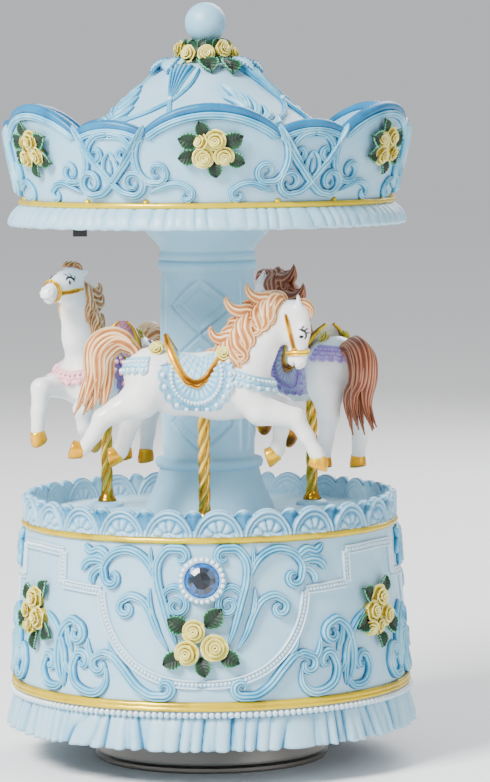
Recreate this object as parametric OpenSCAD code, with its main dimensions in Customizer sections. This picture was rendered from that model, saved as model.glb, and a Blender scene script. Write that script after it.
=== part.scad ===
// Three-horse carousel music box: a turntable foot, a ruffled drum base that
// holds an 18-note movement, a centre column and a crown-shaped canopy.
// Millimetres, +Z up, origin on the table at the middle of the turntable.

/* [Base] */
// Radius of the ruffled hem at the foot of the base
hem_r = 55.2; // [54.6:0.1:56]
// Height of the hem's lower edge above the table
hem_z = 10; // [9.8:0.1:10.2]
// Radius of the drum wall above the lower gold band
drum_low_r = 52; // [51.8:0.1:52.4]
// Radius of the drum wall below the upper gold band
drum_top_r = 49; // [48.8:0.1:49.2]
// Height of the deck that the horses ride over
deck_z = 65; // [64.8:0.1:65.4]
// Height of the tips of the lace rim
lace_z = 71; // [70.5:0.1:72]
// Turn of the base pattern, in degrees
base_turn = -2.4; // [-6:0.1:6]

/* [Column] */
// Radius of the column shaft
shaft_r = 12; // [11.5:0.1:12.4]
// Radius of the column's bell-shaped foot
bell_r = 17.5; // [16.5:0.1:18.5]

/* [Canopy] */
// Radius of the canopy's pleated skirt
skirt_r = 52.8; // [52.4:0.1:53.5]
// Height of the skirt's lower edge
skirt_z = 141.7; // [141.6:0.1:142]
// Radius of the crown cornice at its flared top
crown_r = 54.6; // [54:0.1:55]
// Height of the six large arches
arch_z = 174.5; // [173.5:0.1:175.5]
// Turn of the canopy pattern, in degrees
canopy_turn = 1.5; // [-6:0.5:6]
// Overall height, to the top of the finial ball
total_h = 200; // [199.5:0.1:200.5]

/* [Horses] */
// Distance from the middle to each horse's pole
pole_circle_r = 32; // [31.5:0.1:32.5]
// Radius of a twisted pole
pole_r = 1.65; // [1.5:0.05:1.7]

/* [Turntable] */
// Radius of the turntable's rolled rim
foot_r = 31; // [30:0.1:32]

/* [Movement] */
// Teeth on the great wheel that the arbor carries
great_teeth = 40; // [40]
// Teeth on the pin drum's pinion
drum_pinion_teeth = 10; // [10]
// Teeth on the pin drum's end wheel
drum_wheel_teeth = 48; // [48]
// Teeth on the governor's pinion
gov_pinion_teeth = 12; // [12]
// Teeth on the governor's worm wheel
worm_wheel_teeth = 20; // [20]

/* [Hidden] */
$fn = 96;
cut = 0.1;      // how far a cutter runs past a face
fit = 0.05;     // radial clearance of a running fit
wall = 4;       // thickness of the cast shells

// Colours
resin_blue = "#bdd9e8";
column_blue = "#a9cbdc";
gold = "#d9b53a";
brass = "#c9a24a";
steel = "#b8babd";
nickel = "#6d6762";
rose_cream = "#f3efae";
black_plastic = "#222222";

// Heights inside the base
dish_top = hem_z;
cover_z = hem_z + 1.5;          // underside of the bottom cover
plate_z = cover_z + 2;          // underside of the bedplate
bed_z = plate_z + 2;            // top of the bedplate
cavity_r = 45.6;
ceiling_z = deck_z - wall;
cover_boss_r = 41.5;
cover_boss_angles = [60, 180, 300];

// Places of the decoration and the lamps: front, right and left, counter-clockwise from the front
stations = [-90, 30, 150];
// The front pole stands a little to the left of its place, in line with the base pattern
horse_angles = [-90 + base_turn, 30, 150];
boss_h = 1.4;
pole_foot_z = deck_z + boss_h;
belly_z = 97;

// Decoration on the drum
gem_z = 53.2;
gem_r = 4.4;
medallion_rose_z = 37;
side_rose_z = 42;
cornice_rose_z = 162;

// Movement: drum axis and gear sizes
axis_z = bed_z + 8;
arbor_r = 1.95;
module_great = 0.6;
great_pitch_r = module_great * great_teeth / 2;
drum_pinion_r = module_great * drum_pinion_teeth / 2;
great_tip_z = axis_z + drum_pinion_r - 0.35;
great_disc_z = axis_z + drum_pinion_r + 0.5;
spring_z = great_disc_z + 2;
spring_h = 8.5;
spring_r = 15.5;
drum_x = 16.5;
drum_len = 19;
drum_r = 5.5;
pin_h = 0.6;
notes = 18;
first_note_x = drum_x + 1;
module_wheel = 0.25;
drum_wheel_r = module_wheel * drum_wheel_teeth / 2;
gov_pinion_r = module_wheel * gov_pinion_teeth / 2;
gov_y = drum_wheel_r + gov_pinion_r;
wheel_x = 36.2;
wheel_w = 1;
module_worm = 0.3;
worm_wheel_r = module_worm * worm_wheel_teeth / 2;
worm_pitch = PI * module_worm;
worm_r = 0.95;
worm_x = 38.8;
worm_y = gov_y + worm_wheel_r + worm_r;
frame_y = 15.6;
frame_top_z = axis_z + 9.5;
drum_arbor_r = 0.8;
gov_arbor_r = 0.45;
worm_shaft_r = 0.4;
pressed = 0.02;                 // radial play between a wheel and its arbor
comb_screw_at = [[20, -17], [32, -17]];
comb_z = bed_z + 7.4;           // underside of the comb's root

// Canopy lamp parts
lid_z = 144;                    // underside of the canopy plate
lid_top = lid_z + 2;
lid_r = 46;
led_circle_r = 31;
canopy_boss_r = 41.5;
switch_at = [-33.1, -16];
switch_travel = 2.2;
knob = [3.6, 2.2, 9.6];
knob_drop = 4.8;                // how far the knob stands below the canopy plate
door_screw_y = 36.4;
holder_low = [-10, 20.5];
holder_size = [20, 13.5, 12.4];
cell_r = 5.8;
cell_len = 5.4;

// A solid of revolution about Z through the points of an [r, z] outline
module turned(outline) {
    rotate_extrude() polygon(outline);
}

// Children are moved out along a radius and turned to face outwards
module facing(angle, r, z) {
    rotate([0, 0, angle]) translate([r, 0, z]) rotate([0, 90, 0]) children();
}

// Outline of a spur gear with straight, narrow teeth; the first is at angle phase
function gear_outline(teeth, root, tip, thick, phase) = [
    for (i = [0 : teeth - 1])
        let (a = phase + 360 * i / teeth)
        for (p = [[root, -thick / 2], [tip, -thick * 0.35], [tip, thick * 0.35], [root, thick / 2]])
            [p[0] * cos(a) - p[1] * sin(a), p[0] * sin(a) + p[1] * cos(a)]
];

// A disc gear on an axis along +X, standing at the origin
module gear_on_x(teeth, root, tip, thick, phase, width, bore) {
    rotate([90, 0, 90]) difference() {
        linear_extrude(width) polygon(gear_outline(teeth, root, tip, thick, phase));
        translate([0, 0, -cut]) cylinder(h = width + 2 * cut, r = bore);
    }
}

module screw(head_r, head_h, shank_r, shank_l) {
    cylinder(h = head_h, r = head_r);
    translate([0, 0, head_h - 0.01]) cylinder(h = shank_l + 0.01, r = shank_r);
}

// --- Turntable ---------------------------------------------------------

module turntable_dish() {
    skin = 0.8;
    color(nickel) difference() {
        turned([
            [0, dish_top - skin], [foot_r - 4.4, dish_top - skin], [foot_r - 3, dish_top - 2.4],
            [foot_r - 1.6, 2.4], [foot_r - 1.8, 1.2], [foot_r - 1.5, 0], [foot_r - 0.5, 0],
            [foot_r, 0.6], [foot_r, 1.4], [foot_r - 0.7, 2.1], [foot_r - 0.9, 2.6],
            [foot_r - 2.2, dish_top - 2.2], [foot_r - 4, dish_top], [0, dish_top]
        ]);
        translate([0, 0, dish_top - skin - cut]) cylinder(h = skin + 2 * cut, r = 1.6);
    }
}

module turntable_screw() {
    color(steel) translate([0, 0, dish_top - 0.8 - 2.2]) screw(3.5, 2.2, 1.5, 8);
}

// The arbor stands on the dish, carries the movement and winds the spring
module winding_arbor() {
    hole_l = 8;
    color(steel) difference() {
        union() {
            translate([0, 0, dish_top]) cylinder(h = spring_z + spring_h + 2 - dish_top, r = arbor_r);
            translate([0, 0, cover_z + 0.5]) cylinder(h = plate_z - cover_z - 0.6, r = 3.3);
        }
        translate([0, 0, dish_top - cut]) cylinder(h = hole_l + cut, r = 1.55);
    }
}

// Crown wheel: its teeth point down into the drum's pinion
module great_wheel() {
    disc_h = 1.4;
    tooth_w = 1.2;
    tooth_t = 0.5;
    color(brass) difference() {
        union() {
            translate([0, 0, great_disc_z]) cylinder(h = disc_h, r = great_pitch_r + 0.9);
            for (i = [0 : great_teeth - 1])
                rotate([0, 0, 360 * i / great_teeth])
                    translate([great_pitch_r - tooth_w / 2, -tooth_t / 2, great_tip_z])
                        cube([tooth_w, tooth_t, great_disc_z - great_tip_z + 0.2]);
        }
        translate([0, 0, great_tip_z - cut]) cylinder(h = 4, r = arbor_r + fit);
    }
}

// --- Base --------------------------------------------------------------

// The drum wall's cone, from the lower band to the upper band
module drum_cone(grow = 0) {
    turned([
        [0, hem_z + 12], [drum_low_r + grow, hem_z + 12],
        [drum_top_r + grow, deck_z - 2.6], [0, deck_z - 2.6]
    ]);
}

module lace_fans() {
    fans = 24;
    fan_r = 5.6;
    first_fan = -87.4;
    intersection() {
        turned([[47.3, deck_z + 1], [48.9, deck_z + 1], [48.9, lace_z + 1], [47.3, lace_z + 1]]);
        for (i = [0 : fans - 1])
            facing(first_fan + 360 * i / fans, 45, lace_z - fan_r) cylinder(h = 6, r = fan_r, $fn = 32);
    }
}

module gem_setting(angle) {
    facing(angle, 46, gem_z) cylinder(h = 5.2, r = 5.8);
}

module base_housing() {
    color(resin_blue) difference() {
        union() {
            turned([
                [48.2, hem_z], [hem_r, hem_z], [hem_r - 0.5, hem_z + 3], [hem_r - 1.7, hem_z + 6.5],
                [hem_r - 2.3, hem_z + 8], [hem_r - 1.3, hem_z + 8.4], [hem_r - 1.3, hem_z + 9.9],
                [hem_r - 1.7, hem_z + 10.2], [hem_r - 1.4, hem_z + 11.2], [hem_r - 1.8, hem_z + 12.2],
                [drum_low_r, hem_z + 12.4], [drum_top_r, deck_z - 2.6], [drum_top_r + 0.4, deck_z - 2.6],
                [drum_top_r + 1.1, deck_z - 1.8], [drum_top_r + 0.4, deck_z - 1], [49.2, deck_z - 0.7],
                [49.2, lace_z - 1.8], [47, lace_z - 1.8], [47, deck_z], [0, deck_z],
                [0, ceiling_z], [cavity_r - 1, ceiling_z], [cavity_r, plate_z], [48.2, plate_z]
            ]);
            lace_fans();
            for (a = horse_angles)
                rotate([0, 0, a]) translate([pole_circle_r, 0, deck_z - cut])
                    cylinder(h = boss_h + cut, r1 = 4.4, r2 = 3.4);
            for (a = cover_boss_angles)
                rotate([0, 0, a]) translate([cover_boss_r, 0, plate_z])
                    cylinder(h = ceiling_z - plate_z + cut, r = 3.5);
            for (a = stations) gem_setting(a + base_turn);
        }
        for (a = cover_boss_angles)
            rotate([0, 0, a]) translate([cover_boss_r, 0, plate_z - cut]) cylinder(h = 12, r = 1.45);
        for (a = stations)
            facing(a + base_turn, 48.6, gem_z) cylinder(h = 4, r = gem_r + 0.1);
    }
}

module bottom_cover() {
    color(black_plastic) difference() {
        translate([0, 0, cover_z]) cylinder(h = plate_z - cover_z, r = 48);
        translate([0, 0, cover_z - cut]) cylinder(h = 3, r = 4);
        for (a = cover_boss_angles)
            rotate([0, 0, a]) translate([cover_boss_r, 0, cover_z - cut]) cylinder(h = 3, r = 1.6);
        movement_screw_places() translate([0, 0, cover_z - cut]) cylinder(h = 3, r = 1.4);
    }
}

module bottom_cover_screws() {
    color(steel) for (a = cover_boss_angles)
        rotate([0, 0, a]) translate([cover_boss_r, 0, cover_z - 1.2]) screw(2.6, 1.2, 1.4, 12);
}

// One cluster of roses as a low dome that faces outwards
module rose_mass(angle, r, z, size, depth) {
    facing(angle, r, z) {
        cylinder(h = depth * 0.6, r = size);
        translate([0, 0, depth * 0.6 - 0.01]) cylinder(h = depth * 0.4, r1 = size, r2 = size * 0.6);
    }
}

module base_rose_clusters() {
    color(rose_cream) difference() {
        for (a = stations) {
            rose_mass(a + base_turn, 48.5, medallion_rose_z, 6.5, 6);
            rose_mass(a + base_turn + 60, 48.5, side_rose_z, 6.5, 5.6);
        }
        drum_cone(0.05);
    }
}

// A round stone with a bevelled crown, set in the middle of a medallion
module gem(angle) {
    color("#1f5f96") facing(angle + base_turn, 48.8, gem_z) {
        cylinder(h = 2.4, r = gem_r);
        translate([0, 0, 2.39]) cylinder(h = 1.2, r1 = gem_r, r2 = gem_r * 0.55);
    }
}

module front_gem() { gem(stations[0]); }
module right_gem() { gem(stations[1]); }
module left_gem() { gem(stations[2]); }

// --- Column ------------------------------------------------------------

module centre_column() {
    ring_z = deck_z + 12.5;
    neck_z = 129.5;
    color(column_blue) turned([
        [0, deck_z], [bell_r, deck_z], [bell_r - 0.6, deck_z + 3], [shaft_r + 2.4, deck_z + 8],
        [shaft_r + 1.2, ring_z], [shaft_r + 1.8, ring_z + 0.4], [shaft_r + 1.8, ring_z + 1.8],
        [shaft_r, ring_z + 2.4], [shaft_r + 0.25, 104], [shaft_r, neck_z],
        [shaft_r + 1, neck_z + 0.4], [shaft_r + 1, neck_z + 2], [shaft_r + 0.4, neck_z + 2.4],
        [shaft_r + 0.7, neck_z + 2.8], [shaft_r + 0.7, neck_z + 4.4], [shaft_r + 0.3, neck_z + 4.9],
        [shaft_r + 1.4, neck_z + 8], [shaft_r + 4.6, neck_z + 11], [shaft_r + 6.5, lid_z], [0, lid_z]
    ]);
}

// --- Poles and horses --------------------------------------------------

module pole(angle) {
    color(gold) rotate([0, 0, angle]) translate([pole_circle_r, 0, 0]) turned([
        [0, pole_foot_z], [2.9, pole_foot_z], [2.7, pole_foot_z + 0.7], [pole_r, pole_foot_z + 2.6],
        [pole_r, belly_z + 3], [0, belly_z + 3]
    ]);
}

module front_pole() { pole(horse_angles[0]); }
module right_pole() { pole(horse_angles[1]); }
module left_pole() { pole(horse_angles[2]); }

// A tapered limb between two balls, each [x, y, z, radius]
module limb(a, b) {
    hull() {
        translate([a[0], a[1], a[2]]) sphere(r = a[3], $fn = 14);
        translate([b[0], b[1], b[2]]) sphere(r = b[3], $fn = 14);
    }
}

module chain(points) {
    for (i = [0 : len(points) - 2]) limb(points[i], points[i + 1]);
}

// A cast horse: nose along +X, its pole on the Z axis; neck and legs differ from horse to horse
module horse(neck, mane, legs) {
    difference() {
        union() {
            chain([[-13, 0, 104, 7], [0, 0, 101.8, 7.2], [10, 0, 100.4, 7.2]]);
            chain(neck);
            chain(mane);
            chain([[-19, 0, 110, 2.6], [-24, 0, 113.4, 2.8], [-29, 0, 106, 3], [-31.5, 0, 98, 1.8]]);
            for (leg = legs) chain(leg);
            chain([[-9, 0, 111.8, 2.2], [-2.5, 0, 107.4, 3], [4, 0, 109, 2.2]]);
            limb([-2, -6.2, 103, 2.6], [-2, 6.2, 103, 2.6]);
        }
        translate([0, 0, 90]) cylinder(h = belly_z + 3.1 - 90, r = pole_r + 0.1, $fn = 32);
    }
}

hind_legs = [
    [[-13, -3.4, 102, 5.4], [-18.4, -4.4, 90.5, 2.8], [-16.8, -4.4, 80, 1.9], [-15.8, -4.4, 78.4, 1.9]],
    [[-13, 3.4, 102, 5.4], [-16, 4.4, 91, 2.8], [-13.6, 4.4, 80, 1.9], [-12.6, 4.4, 78.4, 1.9]]
];

module placed_horse(angle) {
    color("#f1f0ee") rotate([0, 0, angle]) translate([pole_circle_r, 0, 0]) rotate([0, 0, 90]) children();
}

// At full gallop, its head tucked in
module front_horse() {
    placed_horse(horse_angles[0]) horse(
        [[9.6, 0, 105, 6.2], [14.4, 0, 114.6, 4.6], [22.4, 0, 119.6, 3.8], [24.7, 0, 107.4, 2.1]],
        [[8.4, 0, 113.5, 2.4], [14, 0, 120.6, 2.2]],
        [
            [[12, -4, 99.5, 4.2], [23.6, -5, 93.2, 2.5], [28.8, -5, 84.4, 1.8], [30.4, -5, 81.8, 2]],
            [[12, 4, 99.5, 4.2], [20.4, 4.6, 95.4, 2.4], [18.9, 4.6, 84.8, 1.8], [17.6, 4.6, 81.4, 2]],
            [[-14, -3.6, 101.5, 5.4], [-22, -4.8, 95.6, 3], [-30.8, -4.8, 85.4, 1.8], [-33, -4.8, 83, 2]],
            [[-14, 3.6, 101.5, 5.4], [-18.6, 4.4, 93, 2.8], [-21.6, 4.4, 84.6, 1.8], [-22.2, 4.4, 81.2, 2]]
        ]
    );
}

// Rearing a little, its head turned up ahead of it
module right_horse() {
    placed_horse(horse_angles[1]) horse(
        [[9.6, 0, 105, 6.2], [13.6, 0, 114, 4.8], [19.2, 0, 122, 3.9], [27.6, 0, 113, 2.1]],
        [[7.4, 0, 113.5, 2.2], [11.8, 0, 120.6, 2.2]],
        concat(hind_legs, [
            [[12, -4, 99.5, 4.2], [22.2, -5, 93, 2.5], [21.4, -5, 83, 1.8], [22, -5, 80.4, 2]],
            [[12, 4, 99.5, 4.2], [21.6, 4.8, 96, 2.5], [19, 4.8, 86.6, 1.8], [18.4, 4.8, 83.6, 2]]
        ])
    );
}

// Rearing a little, its neck upright and its head level
module left_horse() {
    placed_horse(horse_angles[2]) horse(
        [[9.6, 0, 105, 6.2], [13.4, 0, 114, 4.6], [14.4, 0, 122.6, 3.9], [26.6, 0, 120.4, 2.1]],
        [[7.2, 0, 113.5, 2.2], [9.4, 0, 121.4, 2.2]],
        concat(hind_legs, [
            [[12, -4, 99.5, 4.2], [24.6, -5, 98.6, 2.6], [26.6, -5, 87.4, 1.8], [27.4, -5, 84.6, 2]],
            [[12, 4, 99.5, 4.2], [19.6, 4.8, 93, 2.5], [16.4, 4.8, 84.6, 1.8], [15.6, 4.8, 81.8, 2]]
        ])
    );
}

// --- Canopy ------------------------------------------------------------

// Keeps what lies under the twelve arches, large and small in turn
module arch_envelope() {
    big_r = 23;
    small_r = 16;
    cylinder(h = arch_z - 9.5, r = 60);
    for (i = [0 : 5]) {
        facing(canopy_turn - 90 + 60 * i, 40, arch_z - big_r) cylinder(h = 20, r = big_r);
        facing(canopy_turn - 60 + 60 * i, 40, arch_z - 4.5 - small_r) cylinder(h = 20, r = small_r);
    }
}

module cornice() {
    color(resin_blue) difference() {
        union() {
            intersection() {
                turned([
                    [lid_r + 0.3, skirt_z], [skirt_r, skirt_z], [skirt_r - 0.6, skirt_z + 1.6],
                    [skirt_r - 2.4, skirt_z + 4], [49.2, skirt_z + 5.4], [49.9, skirt_z + 6.1],
                    [49.2, skirt_z + 6.9], [48.6, skirt_z + 7.2], [crown_r, arch_z + 0.2],
                    [crown_r - 2.6, arch_z + 0.2], [46.6, 152], [44, 152], [44, lid_top],
                    [lid_r + 0.3, lid_top]
                ]);
                arch_envelope();
            }
            for (a = stations)
                rotate([0, 0, a + 60]) translate([canopy_boss_r, 0, lid_top]) cylinder(h = 5.5, r = 2.6);
        }
        for (a = stations)
            rotate([0, 0, a + 60]) translate([canopy_boss_r, 0, lid_top - cut]) cylinder(h = 5, r = 1.05);
    }
}

module roof() {
    shell = 3;
    color(resin_blue) difference() {
        turned([[46.4, 152], [46.2, 154], [27.2, 169.6], [20.7, 175], [13, 182.4], [9, 184], [0, 184],
                [0, 179], [10, 179], [20.7 - shell, 175 - shell], [27.2 - shell, 169.6 - shell],
                [46.2 - shell - 1, 154], [44.4, 152]]);
        translate([0, 0, 180.5]) cylinder(h = 4, r = 2.6);
    }
}

module cornice_rose_clusters() {
    color(rose_cream) difference() {
        for (i = [0 : 5]) rose_mass(canopy_turn - 90 + 60 * i, 49, cornice_rose_z, 6.5, 5.8);
        turned([[0, skirt_z + 7], [48.65, skirt_z + 7], [crown_r + 0.05, arch_z + 0.2], [0, arch_z + 0.2]]);
    }
}

module finial_roses() {
    color(rose_cream) turned([[3, 184], [8.6, 184], [9.6, 186], [8.4, 189], [5.6, 190.2], [3, 189.4]]);
}

module finial_ball() {
    ball_r = 5.45;
    color(resin_blue) {
        translate([0, 0, total_h - ball_r]) sphere(r = ball_r);
        translate([0, 0, 180.6]) cylinder(h = 12, r = 2.5);
    }
}

// The opening that the switch knob slides in
module switch_slot(z, depth) {
    translate([switch_at[0] - knob[0] / 2 - 0.2, switch_at[1] - knob[1] / 2 - 0.1, z])
        cube([knob[0] + switch_travel + 0.4, knob[1] + 0.2, depth]);
}

module canopy_plate() {
    color(resin_blue) difference() {
        translate([0, 0, lid_z]) cylinder(h = lid_top - lid_z, r = lid_r);
        for (a = stations) {
            rotate([0, 0, a]) translate([led_circle_r, 0, lid_z - cut]) cylinder(h = 3, r = 1.6);
            rotate([0, 0, a + 60]) translate([canopy_boss_r, 0, lid_z - cut]) cylinder(h = 3, r = 1.2);
        }
        switch_slot(lid_z - cut, 3);
        translate([holder_low[0] + 1, holder_low[1] + 1, lid_z - cut])
            cube([holder_size[0] - 2, holder_size[1] - 2, 3]);
        translate([0, door_screw_y, lid_z - cut]) cylinder(h = 3, r = 0.85);
    }
}

module canopy_plate_screws() {
    color(steel) for (a = stations)
        rotate([0, 0, a + 60]) translate([canopy_boss_r, 0, lid_z - 1]) screw(2, 1, 1, 6);
}

module switch_body() {
    size = [7.3, 3.6, 4.5];
    color(black_plastic) difference() {
        translate([switch_at[0] + switch_travel / 2 - 0.05, switch_at[1], lid_top + size[2] / 2])
            cube(size, center = true);
        switch_slot(lid_top - cut, 3.3);
    }
}

module switch_knob() {
    color(black_plastic)
        translate([switch_at[0] - knob[0] / 2, switch_at[1] - knob[1] / 2, lid_z - knob_drop]) cube(knob);
}

module lamp_leds() {
    color("#f4f1e0") for (a = stations) rotate([0, 0, a]) translate([led_circle_r, 0, 0]) {
        translate([0, 0, lid_z - 0.2]) cylinder(h = 4.2, r = 1.5);
        translate([0, 0, lid_z - 0.2]) sphere(r = 1.5);
        translate([0, 0, lid_top]) cylinder(h = 0.8, r = 1.8);
    }
}

// One pair of leads round the canopy, over the lamps and into the battery holder
module lamp_wires() {
    color("#b03030") rotate([0, 0, 109]) rotate_extrude(angle = 322)
        translate([led_circle_r, lid_z + 4.6]) circle(r = 0.55, $fn = 24);
}

module battery_holder() {
    color(black_plastic) difference() {
        translate([holder_low[0], holder_low[1], lid_top]) cube(holder_size);
        translate([holder_low[0] + 0.9, holder_low[1] + 0.75, lid_top - cut])
            cube([holder_size[0] - 1.8, holder_size[1] - 1.5, holder_size[2] - 0.4]);
    }
}

module lamp_cells() {
    cells = 3;
    cell_y = holder_low[1] + holder_size[1] / 2;
    color(steel) for (i = [0 : cells - 1])
        translate([(i - cells / 2) * cell_len + 0.05, cell_y, lid_top + 0.3 + cell_r])
            rotate([0, 90, 0]) cylinder(h = cell_len - 0.1, r = cell_r);
}

module battery_door() {
    color(resin_blue) difference() {
        translate([-11, 20, lid_z - 1.2]) cube([22, 18.5, 1.2]);
        translate([0, door_screw_y, lid_z - 1.3]) cylinder(h = 2, r = 0.95);
    }
}

module battery_door_screw() {
    color(steel) translate([0, door_screw_y, lid_z - 2]) screw(1.6, 0.8, 0.8, 2.8);
}

// --- Movement ----------------------------------------------------------

module movement_screw_places() {
    for (p = [[-13, -13], [-13, 13], [28, 13]]) translate([p[0], p[1], 0]) children();
}

module comb_screw_places() {
    for (p = comb_screw_at) translate([p[0], p[1], 0]) children();
}

module bedplate() {
    color("#b9a36a") difference() {
        union() {
            intersection() {
                translate([-19, -20.5, plate_z]) cube([61, 38, bed_z - plate_z]);
                translate([0, 0, plate_z]) cylinder(h = 3, r = 44);
            }
            translate([15.5, -20, bed_z - cut]) cube([21, 6, comb_z - bed_z + cut]);
        }
        translate([0, 0, plate_z - cut]) cylinder(h = 3, r = arbor_r + fit);
        movement_screw_places() translate([0, 0, plate_z - cut]) cylinder(h = 3, r = 1.25);
        comb_screw_places() translate([0, 0, bed_z + 2]) cylinder(h = 6, r = 1.15);
    }
}

module movement_screws() {
    color(steel) movement_screw_places() translate([0, 0, cover_z - 1.1]) screw(2.2, 1.1, 1.2, 3.8);
}

module spring_housing() {
    skin = 1.2;
    color(brass) difference() {
        union() {
            translate([0, 0, spring_z]) cylinder(h = spring_h - 1, r = spring_r);
            for (a = [90, 180, 270])
                rotate([0, 0, a]) translate([15.2, 0, bed_z]) cylinder(h = spring_z - bed_z + 1, r = 1.8);
        }
        translate([0, 0, spring_z + 1]) cylinder(h = spring_h, r = spring_r - skin);
        translate([0, 0, spring_z - cut]) cylinder(h = 3, r = arbor_r + fit);
    }
}

module spring_cover() {
    color(brass) difference() {
        translate([0, 0, spring_z + spring_h - 1]) cylinder(h = 1, r = spring_r);
        translate([0, 0, spring_z + spring_h - 1 - cut]) cylinder(h = 2, r = arbor_r + fit);
    }
}

// Flat spiral strip between the arbor and the housing wall
module mainspring() {
    turns = 6;
    strip = 0.5;
    inner = 3;
    outer = spring_r - 1.9;
    steps = turns * 24;
    function spiral(i, offset) =
        let (a = 360 * turns * i / steps, r = inner + (outer - inner) * i / steps + offset)
        [r * cos(a), r * sin(a)];
    color("#7d8790") translate([0, 0, spring_z + 1.2]) linear_extrude(spring_h - 2.6) polygon(concat(
        [for (i = [0 : steps]) spiral(i, 0)],
        [for (i = [steps : -1 : 0]) spiral(i, strip)]
    ));
}

module drum_bearings() {
    color(brass) for (b = [[8.6, 1.6, -3, 6], [37.7, 1.3, -3.5, 5]])
        difference() {
            translate([b[0], b[2], bed_z]) cube([b[1], b[3], axis_z + 2 - bed_z]);
            translate([b[0] - cut, 0, axis_z]) rotate([0, 90, 0]) cylinder(h = 2, r = drum_arbor_r + fit);
        }
}

module pin_drum() {
    pins_per_note = 4;
    turn_per_pin = 360 / pins_per_note;
    color("#d8c27a") difference() {
        union() {
            translate([drum_x, 0, axis_z]) rotate([0, 90, 0]) cylinder(h = drum_len, r = drum_r);
            for (n = [0 : notes - 1], k = [0 : pins_per_note - 1])
                translate([first_note_x + n, 0, axis_z])
                    rotate([turn_per_pin * k + 67 * n + 11 * k * n, 0, 0])
                        translate([-0.2, -0.2, drum_r - 0.3]) cube([0.4, 0.4, pin_h + 0.3]);
        }
        translate([drum_x - cut, 0, axis_z]) rotate([0, 90, 0])
            cylinder(h = drum_len + 1, r = drum_arbor_r + pressed);
    }
}

module drum_arbor() {
    color(steel) translate([8.8, 0, axis_z]) rotate([0, 90, 0]) cylinder(h = 30, r = drum_arbor_r);
}

module drum_pinion() {
    color(brass) translate([great_pitch_r - 0.8, 0, axis_z])
        gear_on_x(
            drum_pinion_teeth, drum_pinion_r - 0.8, drum_pinion_r + 0.4, 0.45,
            90 + 180 / drum_pinion_teeth, 1.6, drum_arbor_r + pressed
        );
}

module drum_wheel() {
    color(brass) translate([wheel_x, 0, axis_z])
        gear_on_x(
            drum_wheel_teeth, drum_wheel_r - 0.4, drum_wheel_r + 0.25, 0.24,
            0, wheel_w, drum_arbor_r + pressed
        );
}

module comb() {
    tooth_root_y = -14;
    tip_y = -(drum_r + pin_h + 0.2);
    color(steel) difference() {
        union() {
            translate([15.5, -20, comb_z]) cube([21, 6, 1.2]);
            for (n = [0 : notes - 1])
                translate([first_note_x + n - 0.35, tooth_root_y - 0.5, comb_z + 0.3])
                    cube([0.7, tip_y - tooth_root_y + 0.5, 0.5]);
        }
        comb_screw_places() translate([0, 0, comb_z - 0.4]) cylinder(h = 3, r = 1.2);
    }
}

module comb_screws() {
    color(steel) comb_screw_places()
        translate([0, 0, comb_z + 1.2 + 1.4]) mirror([0, 0, 1]) screw(2, 1.4, 1.1, 6);
}

// A bracket that holds the governor's arbor on two arms and the worm between two shelves
module governor_frame() {
    shelf_low = [36.8, 9.8];
    color(brass) difference() {
        union() {
            translate([34.6, frame_y, bed_z]) cube([6.2, 1.2, frame_top_z + 1.2 - bed_z]);
            for (z = [bed_z, frame_top_z])
                translate([shelf_low[0], shelf_low[1], z]) cube([4, frame_y + 0.1 - shelf_low[1], 1.2]);
            for (x = [34.6, 40.3])
                translate([x, gov_y - 1.4, axis_z - 2]) cube([1, frame_y + 0.6 - gov_y + 1.4, 4]);
        }
        translate([34, gov_y, axis_z]) rotate([0, 90, 0]) cylinder(h = 8, r = gov_arbor_r + fit);
        translate([worm_x, worm_y, bed_z - cut]) cylinder(h = 30, r = worm_shaft_r + fit);
    }
}

module governor_arbor() {
    color(steel) translate([34.7, gov_y, axis_z]) rotate([0, 90, 0]) cylinder(h = 6.5, r = gov_arbor_r);
}

module governor_pinion() {
    color(brass) translate([wheel_x - 0.2, gov_y, axis_z])
        gear_on_x(
            gov_pinion_teeth, gov_pinion_r - 0.4, gov_pinion_r + 0.25, 0.22,
            180 + 180 / gov_pinion_teeth, 1.4, gov_arbor_r + pressed
        );
}

module worm_wheel() {
    color(brass) translate([worm_x - 0.4, gov_y, axis_z])
        gear_on_x(
            worm_wheel_teeth, worm_wheel_r - 0.35, worm_wheel_r + 0.25, 0.28,
            180 / worm_wheel_teeth, 0.8, gov_arbor_r + pressed
        );
}

// Thin single-start thread on a slim shaft
module worm() {
    core_r = 0.5;
    tip_r = 1.1;
    turns = 5;
    thread_angle = 76;
    color(steel) translate([worm_x, worm_y, 0]) {
        translate([0, 0, bed_z + 0.1]) cylinder(h = frame_top_z + 1 - bed_z, r = worm_shaft_r);
        translate([0, 0, axis_z - 3.4]) cylinder(h = 6.8, r = core_r);
        translate([0, 0, axis_z - turns * worm_pitch / 2]) rotate([0, 0, -90 - 180 * turns])
            linear_extrude(turns * worm_pitch, twist = -360 * turns, slices = turns * 16, $fn = 8)
                polygon(concat(
                    [[0, 0]],
                    [for (i = [-2 : 2]) let (a = i * thread_angle / 4) [tip_r * cos(a), tip_r * sin(a)]]
                ));
    }
}

// Two flat blades that beat the air and hold the speed down
module air_brake() {
    color(steel) translate([worm_x, worm_y, frame_top_z - 4.5]) difference() {
        union() {
            cylinder(h = 4, r = 1);
            translate([-3.2, -0.2, 0]) cube([6.4, 0.4, 4]);
        }
        translate([0, 0, -cut]) cylinder(h = 5, r = worm_shaft_r + pressed);
    }
}

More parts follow.
